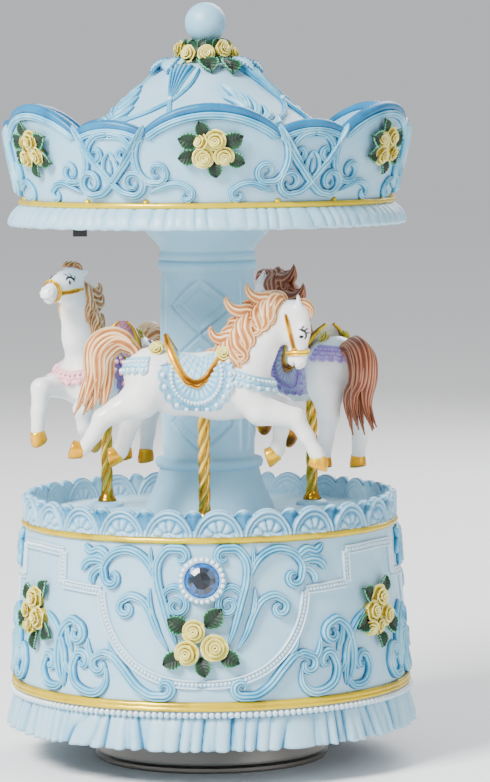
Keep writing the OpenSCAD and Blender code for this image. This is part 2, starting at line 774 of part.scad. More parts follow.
turntable_dish();
turntable_screw();
winding_arbor();
great_wheel();
base_housing();
bottom_cover();
bottom_cover_screws();
base_rose_clusters();
front_gem();
right_gem();
left_gem();
centre_column();
front_pole();
right_pole();
left_pole();
front_horse();
right_horse();
left_horse();
cornice();
roof();
cornice_rose_clusters();
finial_roses();
finial_ball();
canopy_plate();
canopy_plate_screws();
switch_body();
switch_knob();
lamp_leds();
lamp_wires();
battery_holder();
lamp_cells();
battery_door();
battery_door_screw();
bedplate();
movement_screws();
spring_housing();
spring_cover();
mainspring();
drum_bearings();
pin_drum();
drum_arbor();
drum_pinion();
drum_wheel();
comb();
comb_screws();
governor_frame();
governor_arbor();
governor_pinion();
worm_wheel();
worm();
air_brake();
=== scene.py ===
"""Looks of the three-horse carousel music box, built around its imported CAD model.

Shapes are worked out in millimetres and scaled to metres when a mesh is made.
A wall ornament is drawn in wall coordinates: u along the wall, v up it, w out of it.
"""
import math
import random

import bpy
import numpy as np
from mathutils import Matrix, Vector


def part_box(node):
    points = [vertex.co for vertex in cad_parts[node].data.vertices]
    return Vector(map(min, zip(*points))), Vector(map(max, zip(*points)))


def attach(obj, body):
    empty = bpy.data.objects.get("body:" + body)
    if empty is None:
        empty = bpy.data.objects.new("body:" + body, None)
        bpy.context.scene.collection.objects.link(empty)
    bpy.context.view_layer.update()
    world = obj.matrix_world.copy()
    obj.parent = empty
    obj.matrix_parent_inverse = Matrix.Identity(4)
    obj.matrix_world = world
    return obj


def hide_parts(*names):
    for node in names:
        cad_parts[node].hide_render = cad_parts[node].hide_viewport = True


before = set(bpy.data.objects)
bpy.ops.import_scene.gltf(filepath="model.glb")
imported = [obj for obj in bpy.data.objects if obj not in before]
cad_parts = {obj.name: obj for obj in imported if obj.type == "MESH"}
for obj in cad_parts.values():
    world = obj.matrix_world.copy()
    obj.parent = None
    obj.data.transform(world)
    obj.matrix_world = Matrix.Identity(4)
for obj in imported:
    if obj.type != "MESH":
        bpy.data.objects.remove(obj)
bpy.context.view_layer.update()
random.seed(7)

MM = 0.001
TAU = 2 * math.pi


def mm_box(node):
    """Lowest and highest corner of a CAD node, in millimetres."""
    low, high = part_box(node)
    return np.array(low) / MM, np.array(high) / MM


# ---------------------------------------------------------------- driving sizes
BASE_LOW, BASE_HIGH = mm_box("base_housing")
CORNICE_LOW, CORNICE_HIGH = mm_box("cornice")
HEM_Z, LACE_TOP = BASE_LOW[2], BASE_HIGH[2]
DECK_Z = mm_box("centre_column")[0][2]
HEM_R = (BASE_HIGH[0] - BASE_LOW[0]) / 2
SKIRT_Z, ARCH_TOP = CORNICE_LOW[2], CORNICE_HIGH[2]
BASE_TURN, CANOPY_TURN = -2.4, 1.5      # how far the two patterns are turned, degrees
STATIONS = (-90, 30, 150)               # the decoration's thirds, counter-clockwise from the front
HORSE_ANGLES = (-90 + BASE_TURN, 30, 150)       # the three poles; the front one is in line with its medallion
DRUM_LOW, DRUM_HIGH = (22.4, 52.0), (DECK_Z - 2.6, 49.0)        # (height, radius) of the drum wall
CROWN_LOW, CROWN_HIGH = (148.9, 48.6), (ARCH_TOP, 54.4)         # (height, radius) of the crown wall
ARC_R = 50.5                            # radius at which u is true arc length on both walls
POLE_R = 32                             # radius of the circle that the three poles stand on


# ---------------------------------------------------------------- mesh gathering
class Shape:
    """Points, faces, paint values and material numbers gathered before they become one mesh. The paint value
    holds each part's tone and, on most parts, painted shade and highlight.
    """

    def __init__(self):
        self.points, self.faces, self.paint, self.mats, self.count = [], [], [], [], 0

    def add(self, points, faces, paint=0.0, mat=0, flip=False):
        """Adds points and faces; flip turns the faces over."""
        points = np.asarray(points, float).reshape(-1, 3)
        paint = np.broadcast_to(np.asarray(paint, float).reshape(-1), (len(points),))
        self.points.append(points)
        self.paint.append(paint)
        step = -1 if flip else 1
        self.faces.extend([tuple(i + self.count for i in f[::step]) for f in faces])
        self.mats.extend([mat] * len(faces))
        self.count += len(points)

    def grid(self, points, paint=0.0, mat=0, wrap_u=False, wrap_v=False, flip=False, caps=False):
        """A sheet of rows and columns; wrap_u joins the last row to the first, wrap_v the columns."""
        rows, cols = points.shape[:2]
        faces = []
        for i in range(rows if wrap_u else rows - 1):
            j_next = (i + 1) % rows
            for j in range(cols if wrap_v else cols - 1):
                k = (j + 1) % cols
                faces.append((i * cols + j, j_next * cols + j, j_next * cols + k, i * cols + k))
        if caps:
            faces.append(tuple(range(cols)))
            faces.append(tuple(range(rows * cols - 1, (rows - 1) * cols - 1, -1)))
        paint = np.broadcast_to(np.asarray(paint, float), (rows, cols)).reshape(-1)
        self.add(points.reshape(-1, 3), faces, paint, mat, flip)

    def fan(self, rim, centre, paint, flip=False):
        """Closes a round rim with triangles that meet at its centre."""
        count = len(rim)
        faces = [(i, (i + 1) % count, count) for i in range(count)]
        self.add(np.vstack([rim, centre]), faces, paint, flip=flip)

    def copy_in(self, other, place, mat_shift=0):
        """Adds another shape with its points moved by the function place."""
        points = place(np.concatenate(other.points))
        self.faces.extend([tuple(i + self.count for i in f) for f in other.faces])
        self.mats.extend([m + mat_shift for m in other.mats])
        self.points.append(points)
        self.paint.append(np.concatenate(other.paint))
        self.count += len(points)

    def build(self, name, materials, body, replaces=(), slot=None):
        """Makes the piece from what was gathered, and sets its body and the nodes it stands for; slot is not
        used.
        """
        mesh = bpy.data.meshes.new(name)
        points = np.concatenate(self.points) * MM
        mesh.from_pydata(points.tolist(), [], self.faces)
        for material in materials:
            mesh.materials.append(material)
        mesh.polygons.foreach_set("material_index", self.mats)
        mesh.polygons.foreach_set("use_smooth", [True] * len(mesh.polygons))
        # the paint value holds each part's tone and, on most parts, painted shade and highlight
        layer = mesh.attributes.new("paint", "FLOAT", "POINT")
        layer.data.foreach_set("value", np.concatenate(self.paint).astype(np.float32))
        mesh.update()
        piece = bpy.data.objects.new(name, mesh)
        bpy.context.collection.objects.link(piece)
        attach(piece, body)
        if replaces:
            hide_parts(*replaces)
        return piece


def smooth_path(points, per=8):
    """A Catmull-Rom curve through the points, as an array with one row a sample."""
    p = np.asarray(points, float)
    p = np.vstack([2 * p[0] - p[1], p, 2 * p[-1] - p[-2]])
    out = []
    for i in range(1, len(p) - 2):
        for t in np.linspace(0, 1, per, endpoint=False):
            a, b, c, d = p[i - 1], p[i], p[i + 1], p[i + 2]
            out.append(0.5 * (2 * b + (c - a) * t + (2 * a - 5 * b + 4 * c - d) * t * t
                              + (3 * b - a - 3 * c + d) * t ** 3))
    out.append(p[-2])
    return np.array(out)


def spun(r, angle, z):
    """Points at a radius, an angle and a height, for numbers or arrays that fit together."""
    return np.stack(np.broadcast_arrays(r * np.cos(angle), r * np.sin(angle), z), -1)


def headings(path, guard=0.0):
    """Unit vectors along a path; a small guard keeps a doubled point from dividing by zero."""
    run = np.gradient(path, axis=0)
    return run / (np.linalg.norm(run, axis=1, keepdims=True) + guard)


def normals(path):
    """Unit vectors square to a flat path, on its left."""
    tangent = headings(path, 1e-9)
    return np.stack([-tangent[:, 1], tangent[:, 0]], -1)


def moved(centre, size=1.0):
    """A placing function that sizes a shape and sets it at centre."""
    return lambda points: points * size + centre


def hump(x, centre, width, power=2):
    """A soft hump of height 1 at centre; a higher power squares its shoulders."""
    return np.exp(-((x - centre) / width) ** power)


def ripple(dice, low, high, count):
    """A sum of count waves round the object, each with low to high whole turns."""
    waves = [(dice.randint(low, high), dice.uniform(0, TAU)) for _ in range(count)]
    return lambda angles: sum(np.sin(k * angles + p) for k, p in waves)


def turned(outline, steps=192, per=1, wobble=None):
    """Rows of a surface of revolution; wobble(angle, row, r, z) may move r and z."""
    outline = smooth_path(outline, per) if per > 1 else np.asarray(outline, float)
    angles = np.arange(steps) * TAU / steps
    grid = np.zeros((steps, len(outline), 3))
    for j, (r, z) in enumerate(outline):
        rr, zz = np.full(steps, r), np.full(steps, z)
        if wobble:
            rr, zz = wobble(angles, j / (len(outline) - 1), rr, zz)
        grid[:, j] = spun(rr, angles, zz)
    return grid


# ---------------------------------------------------------------- materials
def linear(hex_colour):
    """A web colour as linear RGBA."""
    values = [int(hex_colour[i:i + 2], 16) / 255 for i in (1, 3, 5)]
    return tuple(v / 12.92 if v < 0.04045 else ((v + 0.055) / 1.055) ** 2.4 for v in values) + (1.0,)


def set_inputs(node, values):
    """Sets the sockets of a shader node by name."""
    for socket, value in values.items():
        node.inputs[socket].default_value = value


def painted(name, stops, rough=0.45, metal=0.0, grain=900.0, bump=0.15, mottle=0.12, coat=0.0, sss=0.0):
    """Painted or plated surface: its colour runs along stops with the paint value, which mostly holds painted
    shade and highlight, and a little mottling.
    """
    material = bpy.data.materials.new(name)
    material.use_nodes = True
    tree = material.node_tree
    new, link = tree.nodes.new, tree.links.new
    shader = tree.nodes["Principled BSDF"]
    set_inputs(shader, {"Metallic": metal, "Coat Weight": coat, "Coat Roughness": 0.2,
                        "Subsurface Weight": sss, "Subsurface Radius": (0.6, 0.6, 0.6),
                        "Subsurface Scale": 0.001})
    where = new("ShaderNodeTexCoord")
    paint = new("ShaderNodeAttribute")
    paint.attribute_name = "paint"
    cloud = new("ShaderNodeTexNoise")
    set_inputs(cloud, {"Scale": 140.0, "Detail": 5.0})
    fine = new("ShaderNodeTexNoise")
    set_inputs(fine, {"Scale": grain, "Detail": 4.0})
    for texture in (cloud, fine):
        link(where.outputs["Object"], texture.inputs["Vector"])
    spread = new("ShaderNodeMapRange")
    set_inputs(spread, {"From Min": 0.3, "From Max": 0.7, "To Min": -mottle, "To Max": mottle})
    link(cloud.outputs["Fac"], spread.inputs["Value"])
    total = new("ShaderNodeMath")
    total.operation = "ADD"
    total.use_clamp = True
    link(paint.outputs["Fac"], total.inputs[0])
    link(spread.outputs["Result"], total.inputs[1])
    ramp = new("ShaderNodeValToRGB")
    ramp.color_ramp.interpolation = "EASE"
    while len(ramp.color_ramp.elements) < len(stops):
        ramp.color_ramp.elements.new(0.5)
    for element, (place, colour) in zip(ramp.color_ramp.elements, stops):
        element.position = place
        element.color = linear(colour)
    link(total.outputs["Value"], ramp.inputs["Fac"])
    link(ramp.outputs["Color"], shader.inputs["Base Color"])
    sheen = new("ShaderNodeMapRange")
    set_inputs(sheen, {"To Min": max(rough - 0.08, 0.03), "To Max": rough + 0.1})
    link(cloud.outputs["Fac"], sheen.inputs["Value"])
    link(sheen.outputs["Result"], shader.inputs["Roughness"])
    relief = new("ShaderNodeBump")
    set_inputs(relief, {"Strength": bump, "Distance": 0.0002})
    link(fine.outputs["Fac"], relief.inputs["Height"])
    link(relief.outputs["Normal"], shader.inputs["Normal"])
    return material


BLUE = painted("resin_blue", [(0, "#a6cfe3"), (0.4, "#8cbfd8"), (0.7, "#4a96bd"), (1, "#16668f")],
               rough=0.42, mottle=0.1, sss=0.05)
SCROLL = painted("scroll_blue", [(0, "#005c8c"), (0.3, "#1f93c0"), (0.62, "#7cc3dc"), (1, "#bfe2ee")],
                 rough=0.4, mottle=0.18, sss=0.03)
EDGE = painted("arch_edge_blue", [(0, "#00527f"), (0.5, "#0077a8"), (1, "#38a0c8")], rough=0.4, mottle=0.2)
COLUMN = painted("column_blue", [(0, "#5f97b3"), (0.5, "#8bbcd2"), (1, "#a9d0e0")], rough=0.45, mottle=0.1)
PEARL = painted("pearl_beads", [(0, "#6fa9c9"), (0.4, "#bfdbea"), (1, "#f2f8fb")],
                rough=0.22, coat=0.5, sss=0.1)
GOLD = painted("gold_paint", [(0, "#5a4600"), (0.4, "#9f8100"), (1, "#dcbc08")],
               rough=0.28, metal=0.35, mottle=0.24, grain=1400)
PLATE = painted("gold_plate", [(0, "#7a5610"), (0.5, "#c8972a"), (1, "#efc860")],
                rough=0.2, metal=1.0, bump=0.05)
ROSE = painted("rose_cream", [(0, "#b59c08"), (0.35, "#e2d24a"), (1, "#f7f0a0")],
               rough=0.4, mottle=0.1, sss=0.1)
LEAF = painted("leaf_green", [(0, "#001207"), (0.45, "#02371a"), (0.8, "#14824a"), (1, "#9fd8cc")],
               rough=0.55, mottle=0.1)
HORSE = painted("pearl_white", [(0, "#dcdcd8"), (0.5, "#efeeec"), (1, "#f9f9f8")],
                rough=0.3, coat=0.25, sss=0.15, mottle=0.1, bump=0.05)
PEACH = painted("peach_hair", [(0, "#74390c"), (0.28, "#b06a2a"), (0.6, "#dca468"), (1, "#f0d3ab")],
                mottle=0.16)
CHESTNUT = painted("chestnut_hair", [(0, "#401606"), (0.35, "#7c3517"), (0.7, "#a9623e"), (1, "#cd9674")],
                   mottle=0.12)
HOOF = painted("hoof_gold", [(0, "#6e4200"), (0.35, "#bf8000"), (0.75, "#e8a800"), (1, "#ffd900")],
               rough=0.24, metal=0.45, mottle=0.42)
INK = painted("black_ink", [(0, "#050506"), (1, "#17171a")], rough=0.3, coat=0.3)


def cloth(name, deep, mid, pale):
    """Painted cloth or leather: deep is painted shade in its folds and grooves, pale a painted highlight on
    its raised edges.
    """
    return painted(name, [(0, deep), (0.4, mid), (1, pale)], mottle=0.12)


TACK_BLUE = cloth("tack_blue", "#0e6da6", "#68b2d4", "#c4e4f0")
TACK_PINK = cloth("tack_pink", "#a64c6c", "#ee9db0", "#fbd3da")
TACK_MAUVE = cloth("tack_mauve", "#5f2a3e", "#a85c74", "#d8a0b0")
TACK_PURPLE = cloth("tack_purple", "#3f2560", "#7a5392", "#b39ac6")
TACK_LILAC = cloth("tack_lilac", "#432a7c", "#9272c2", "#c9b4e6")
TACK_LAVENDER = cloth("tack_lavender", "#5a5482", "#a19bc6", "#d6d2ea")
TACK_IVORY = cloth("tack_ivory", "#c99a28", "#ece6d6", "#faf8f2")
STONE = painted("gem_stone", [(0, "#0d1116"), (0.45, "#222d38"), (0.62, "#06549a"), (1, "#0a74c8")],
                rough=0.05, mottle=0.02, bump=0.0, coat=1.0)
NICKEL = painted("dark_nickel", [(0, "#8f8983"), (0.5, "#a8a29b"), (1, "#c9c3bc")],
                 rough=0.38, metal=1.0, bump=0.05)
STEEL = painted("bright_steel", [(0, "#8f9194"), (1, "#c8cacc")], rough=0.3, metal=1.0, bump=0.08)
SPRING = painted("blued_steel", [(0, "#47525c"), (1, "#7d8790")], rough=0.35, metal=1.0, bump=0.05)
BRASS = painted("satin_brass", [(0, "#9c7a34"), (1, "#d6b36a")], rough=0.32, metal=1.0, bump=0.08)
BLACK = painted("black_plastic", [(0, "#0d0d0e"), (1, "#232325")], rough=0.5, bump=0.2)
LENS = painted("lamp_lens", [(0, "#e9e4cf"), (1, "#fbf8ea")], rough=0.2, coat=0.6, bump=0.02)
WIRE = painted("red_lead", [(0, "#7d1616"), (1, "#b32a2a")], rough=0.35, bump=0.05)

CAD_LOOKS = {
    NICKEL: ["turntable_dish"],
    STEEL: ["turntable_screw", "winding_arbor", "bottom_cover_screws", "canopy_plate_screws",
            "battery_door_screw", "lamp_cells", "movement_screws", "drum_arbor", "comb", "comb_screws",
            "governor_arbor", "worm", "air_brake"],
    BRASS: ["great_wheel", "bedplate", "spring_housing", "spring_cover", "drum_bearings", "pin_drum",
            "drum_pinion", "drum_wheel", "governor_frame", "governor_pinion", "worm_wheel"],
    SPRING: ["mainspring"],
    BLACK: ["bottom_cover", "switch_body", "switch_knob", "battery_holder"],
    BLUE: ["canopy_plate", "battery_door"],
    LENS: ["lamp_leds"],
    WIRE: ["lamp_wires"],
}


def dress_cad_nodes():
    """Gives every CAD node that stays in view its own detailed material."""
    for material, nodes in CAD_LOOKS.items():
        for name in nodes:
            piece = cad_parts[name]
            piece.data.materials.clear()
            piece.data.materials.append(material)


# ---------------------------------------------------------------- wall coordinates
def wall(low, high, turn, arc_r=ARC_R):
    """A function from wall coordinates to space, on a cone through two (height, radius) points."""
    (z0, r0), (z1, r1) = low, high

    def place(u, v, w=0.0):
        angle = np.radians(turn) + np.asarray(u, float) / arc_r
        r = r0 + (r1 - r0) * (np.asarray(v, float) - z0) / (z1 - z0) + np.asarray(w, float)
        return spun(r, angle, v)
    return place


def drum_wall(turn):
    """The base's drum wall, with u = 0 at turn degrees."""
    return wall(DRUM_LOW, DRUM_HIGH, turn + BASE_TURN)


def crown_wall(turn):
    """The crown's flared wall, with u = 0 at turn degrees."""
    return wall(CROWN_LOW, CROWN_HIGH, turn + CANOPY_TURN)


SECTION = np.linspace(-1, 1, 11)        # places across a band, from edge to edge
SINK = 0.25                             # how far a band's underside lies inside its wall


def rounded(s):
    """Height of a half-round band across its width."""
    return np.sqrt(np.clip(1 - s * s, 0, 1))


def fluted(s):
    """Height of a carved band across its width: a raised middle between two grooves and two rims."""
    return rounded(s) * (0.8 + 0.2 * np.cos(3 * math.pi * s))


def stroke(shape, place, path, width, height, mat=0, profile=fluted, taper=(0.2, 0.2), side=1,
           shade_tone=0.1, highlight_tone=0.85):
    """A raised band along a path on a wall, closed underneath, thinner towards its ends, with painted shade
    in its grooves and a painted highlight on its rims and middle.
    """
    path = np.asarray(path, float)
    across = normals(path)
    t = np.linspace(0, 1, len(path))
    ends = np.minimum(np.clip(t / max(taper[0], 1e-3), 0, 1), np.clip((1 - t) / max(taper[1], 1e-3), 0, 1))
    ends = np.sqrt(np.clip(ends, 0.02, 1))
    half = np.broadcast_to(width, t.shape) / 2 * ends
    s = np.concatenate([SECTION, [0.6, -0.6]])
    top = np.concatenate([profile(SECTION), [0, 0]])
    lift = np.concatenate([np.zeros(len(SECTION)), [-SINK, -SINK]])
    u = (path[:, :1] + across[:, :1] * half[:, None] * s) * side
    v = path[:, 1:] + across[:, 1:] * half[:, None] * s
    w = top * (np.broadcast_to(height, t.shape) * (0.35 + 0.65 * ends))[:, None] + lift - 0.02
    # painted shade and highlight: the tone runs from the low value in the grooves and at the edges to the
    # high value on the rims and raised middle
    crest = np.concatenate([0.5 + 0.5 * np.cos(3 * math.pi * SECTION), [0, 0]]) * (top > 0.3)
    tone = shade_tone + (highlight_tone - shade_tone) * (0.35 * top + 0.65 * crest) + 0 * half[:, None]
    shape.grid(place(u, v, w), tone, mat, wrap_v=True, flip=side > 0, caps=True)


def curl(stem, centre, turns=1.2, hand=1):
    """A stem that runs on into a spiral round centre; hand 1 turns counter-clockwise."""
    eye = 0.25
    stem = smooth_path(stem) if len(stem) > 1 else np.asarray(stem, float)
    offset = stem[-1] - np.asarray(centre, float)
    r0, a0 = np.hypot(*offset), math.atan2(offset[1], offset[0])
    t = np.linspace(0, 1, int(18 * turns) + 2)[1:]
    r = r0 * (1 - (1 - eye) * t)
    a = a0 + hand * TAU * turns * t
    return np.vstack([stem, np.stack([centre[0] + r * np.cos(a), centre[1] + r * np.sin(a)], -1)])


def ball(r, rows=6, cols=10):
    """A small bead as a shape, paler towards its top as a painted highlight."""
    shape = Shape()
    phi = np.linspace(0.02, math.pi - 0.02, rows)
    theta = np.arange(cols) * TAU / cols
    grid = spun(np.sin(phi), theta[:, None], np.cos(phi)) * r
    # painted highlight: the tone rises towards the +Z pole over the upper half, and the lower half keeps 0.4
    # as painted shade
    shape.grid(grid, 0.4 + 0.6 * np.clip(np.cos(phi), 0, 1) + 0 * theta[:, None], wrap_u=True, flip=True)
    return shape


def bead_row(shape, place, path, r, mat=0, side=1, lift=0.3):
    """Beads of radius r laid edge to edge along a wall path."""
    path = np.asarray(path, float)
    run = np.concatenate([[0], np.cumsum(np.linalg.norm(np.diff(path, axis=0), axis=1))])
    count = max(int(run[-1] / (2 * r)), 1)
    bead = ball(r, 5, 8)
    for d in (np.arange(count) + 0.5) * run[-1] / count:
        u, v = np.interp(d, run, path[:, 0]) * side, np.interp(d, run, path[:, 1])
        shape.copy_in(bead, moved(place(u, v, r * lift)), mat)


def wall_frame(place, u, v, w=0.0):
    """Where a piece sits on a wall, and its axes along, up and out of the wall."""
    here = place(u, v, w)
    along = place(u + 0.1, v, w) - here
    up = place(u, v + 0.1, w) - here
    along /= np.linalg.norm(along)
    up /= np.linalg.norm(up)
    return here, np.stack([along, up, np.cross(along, up)])


def set_on(place, u, v, w=0.0, spin=0.0, size=1.0, tilt=0.0):
    """A placing function that stands a shape's +Z out of the wall at u, v."""
    here, axes = wall_frame(place, u, v, w)
    c, s = math.cos(math.radians(spin)), math.sin(math.radians(spin))
    ct, st = math.cos(math.radians(tilt)), math.sin(math.radians(tilt))
    spin_matrix = np.array([[c, s, 0], [-s, c, 0], [0, 0, 1]])
    tilt_matrix = np.array([[ct, 0, -st], [0, 1, 0], [st, 0, ct]])
    matrix = tilt_matrix @ spin_matrix @ axes
    return lambda p: p * size @ matrix + here


# ---------------------------------------------------------------- pleats, bands and shells
def pleats(count, sharp, seed, sway=0.012):
    """How far out a pleated cloth stands at each angle, 0 in a fold and 1 on a crest, uneven by hand."""
    dice = random.Random(seed)
    waves = [(dice.randint(3, 17), dice.uniform(0, TAU), dice.uniform(0.3, 1.0) * sway) for _ in range(9)]
    lean = ripple(dice, 2, 13, 4)

    def crest(angles, down):
        shift = sum(a * np.sin(k * angles + p) for k, p, a in waves)
        shift = shift + sway * down * lean(angles)
        return np.abs(np.cos(count / 2 * (angles + shift))) ** sharp
    return crest


def hem():
    """The deep ruffle round the foot of the base, in clusters of narrow and wide folds, with painted shade in
    the folds.
    """
    crest, second = pleats(88, 0.5, 3, 0.02), pleats(37, 0.8, 21, 0.03)
    waves = ripple(random.Random(14), 11, 53, 7)
    top_r, top_z = 52.3, 18.6
    spread = HEM_R - 52.5
    under = [(50.4, HEM_Z + 0.6), (48.3, HEM_Z + 1), (48.3, top_z)]
    steps, rows = 96 * 13, 12
    angles = np.arange(steps) * TAU / steps
    depth = 1 + 0.2 * waves(angles)
    shape = Shape()
    grid = np.zeros((steps, rows + len(under), 3))
    tone = np.zeros(grid.shape[:2])
    for j in range(rows):
        t = j / (rows - 1)
        fold = 0.68 * crest(angles, t) + 0.32 * second(angles, t)
        dip = np.clip(depth, 0.4, 1.6) * (1 - fold)
        r = top_r + spread * t ** 0.8 - (0.8 + 1.9 * t) * dip
        grid[:, j] = spun(r, angles, top_z - (top_z - HEM_Z) * t + 0.55 * dip * t)
        # painted shade: the blue deepens with how far a point lies into a fold
        tone[:, j] = np.clip(1.15 * dip ** 1.3, 0, 0.95)
    for j, (r, z) in enumerate(under):
        grid[:, rows + j] = spun(r, angles, z)
    shape.grid(grid, tone, wrap_u=True, wrap_v=True, flip=True)
    return shape.build("hem_ruffle", [BLUE], "carousel", slot="resin_blue")


def skirt():
    """The softly pleated skirt under the crown, full and rounded like a cushion, with painted shade in its
    folds.
    """
    crest = pleats(92, 0.35, 5)
    waves = ripple(random.Random(8), 7, 47, 7)
    top_z = 147.3
    outline = smooth_path([(49.2, top_z), (50.3, 146.6), (51.7, 145.2), (52.5, 143.7), (52.75, 142.5),
                           (52.3, SKIRT_Z + 0.1)], 4)
    under = [(51.0, SKIRT_Z + 0.1), (49.4, SKIRT_Z + 0.7), (46.4, SKIRT_Z + 1.2), (46.4, top_z)]
    steps = 92 * 12
    angles = np.arange(steps) * TAU / steps
    depth = 0.62 + 0.16 * waves(angles) / 1.5
    grid = np.zeros((steps, len(outline) + len(under), 3))
    tone = np.zeros(grid.shape[:2])
    for j, (r, z) in enumerate(outline):
        t = j / (len(outline) - 1)
        fold = crest(angles, t)
        bite = depth * (0.35 + 0.75 * math.sin(math.pi * min(0.2 + 0.75 * t, 1))) * (1 - fold)
        edge = 0.12 * t * np.sin(61 * angles + 3 * np.sin(9 * angles))
        grid[:, j] = spun(r - bite, angles, z - 0.12 * (1 - fold) + edge)
        # painted shade: the blue deepens in the folds, less towards the lower edge
        tone[:, j] = 0.1 + 0.75 * np.clip(bite, 0, 1) * (1 - 0.4 * t)
    for j, (r, z) in enumerate(under):
        grid[:, len(outline) + j] = spun(r, angles, z)
    shape = Shape()
    shape.grid(grid, tone, wrap_u=True, wrap_v=True, flip=True)
    return shape.build("canopy_skirt", [BLUE], "carousel", slot="resin_blue")


def gold_band(name, z, r, outline):
    """A painted ring with a slightly uneven, hand-brushed edge, paler where it stands out as a painted
    highlight and darker where it lies back as painted shade.
    """
    waves = ripple(random.Random(name), 9, 60, 6)

    def wobble(angles, row, rr, zz):
        return rr, zz + 0.05 * waves(angles) * (0.5 - abs(row - 0.5))
    shape = Shape()
    grid = turned([(r + a, z + b) for a, b in outline], 288, 4, wobble)
    # painted shade and highlight: the tone follows how far out each point stands
    lift = np.hypot(grid[..., 0], grid[..., 1])
    tone = (lift - lift.min()) / (lift.max() - lift.min())
    shape.grid(grid, tone, wrap_u=True, wrap_v=True)
    return shape.build(name, [GOLD], "carousel", slot="gold")


def base_shell():
    """Deck, drum wall and the hidden inside of the base, as one closed casting."""
    inside = mm_box("bottom_cover")[1][2]
    outline = [(0.3, DECK_Z), (20, DECK_Z), (46.9, DECK_Z), (47.4, 65.6), (48.6, 65.6), (49.2, 64.3),
               DRUM_HIGH[::-1], (50.5, 42.4), DRUM_LOW[::-1], (52, 18.4), (48.4, 18.4), (48.2, inside),
               (45.6, inside), (45, 61), (0.3, 61)]
    shape = Shape()
    shape.grid(turned(outline, 240), 0.12, wrap_u=True, wrap_v=True)
    for station in HORSE_ANGLES:
        boss = turned([(0.2, DECK_Z - 0.3), (4.5, DECK_Z - 0.3), (4.3, DECK_Z + 0.6), (3.5, DECK_Z + 1.2),
                       (2.2, DECK_Z + 1.4), (0.2, DECK_Z + 1.4)], 40)
        boss += spun(POLE_R, math.radians(station), 0)
        shape.grid(boss, 0.3, wrap_u=True)
    return shape.build("base_shell", [BLUE], "carousel", ("base_housing",), "resin_blue")


def pearl_rows():
    """The row of pearls over the hem."""
    shape = Shape()
    count, ring_r, height = 204, 53.1, 19.15
    bead = ball(0.79, 7, 12)
    for i in range(count):
        shape.copy_in(bead, moved(spun(ring_r, TAU * i / count, height)))
    return shape.build("pearl_row", [PEARL], "carousel", slot="resin_blue")


def lace_rim():
    """Scalloped lace round the deck: fans of petals under double arches, a curled leaf between each pair."""
    fans, first, columns, rows = 24, -87.4, 60, 26
    foot, rise, reach = 64.0, LACE_TOP - 64.2, 6.6
    spacing = TAU * ARC_R / fans
    u = np.arange(fans * columns) * spacing / columns
    near = (u + spacing / 2) % spacing - spacing / 2
    beside = spacing / 2 - np.abs(near)
    fan_top = foot + rise * np.clip(1 - (near / reach) ** 2, 0, 1) ** 0.6
    leaf_top = 67.4 + 3.3 * np.sqrt(np.clip(1 - (beside / 2.7) ** 2, 0, 1))
    top = np.maximum(fan_top, leaf_top)[:, None]
    t = np.linspace(0, 1, rows)[None]
    v = foot + (top - foot) * t

    def relief(v):
        a, b = near[:, None] / reach, np.clip((v - foot) / rise, 0, None)
        rho, alpha = np.sqrt(a * a + b ** (1 / 0.6)), np.arctan2(b, a)
        petals = np.abs(np.cos(4.5 * alpha)) ** 0.5 * hump(rho, 0.46, 0.21, 4)
        arches = hump(rho, 0.78, 0.05) + 1.25 * hump(rho, 0.93, 0.055)
        fan = 1.15 * petals + arches + 1.1 * hump(rho, 0, 0.15, 4) - 0.45
        across = beside[:, None] / 2.2
        leaf = -1.3 + 0.8 * hump(across, 0, 0.6) + np.clip((v - 69.0) / 1.6, 0, 1)
        return np.where(rho < 1.0, fan, leaf)
    front = relief(v)
    wall_place = wall((60, 49.0), (72, 49.0), first)
    rim_a = np.linspace(0.15, math.pi - 0.15, 6)[None]
    rim_w = (front[:, -1:] - 1.9) / 2 + (front[:, -1:] + 1.9) / 2 * np.cos(rim_a)
    back = -1.9 - 0.3 * relief(v)[:, ::-1]
    uu = u[:, None] + 0 * t
    shape = Shape()
    # painted shade and highlight: raised petals, arches and rim are paler and the recesses between them a
    # deeper blue; the inner face keeps one pale tone
    tone = np.clip(0.6 - 0.6 * np.concatenate([front, rim_w + 1.2, 0 * back + 0.7], 1), 0.02, 0.85)
    shape.grid(wall_place(np.concatenate([uu, uu[:, :6], uu], 1),
                          np.concatenate([v, top + 0.25 * np.sin(rim_a), v[:, ::-1]], 1),
                          np.concatenate([front, rim_w, back], 1)), tone, wrap_u=True, wrap_v=True, flip=True)
    return shape.build("lace_rim", [BLUE], "carousel", slot="resin_blue")


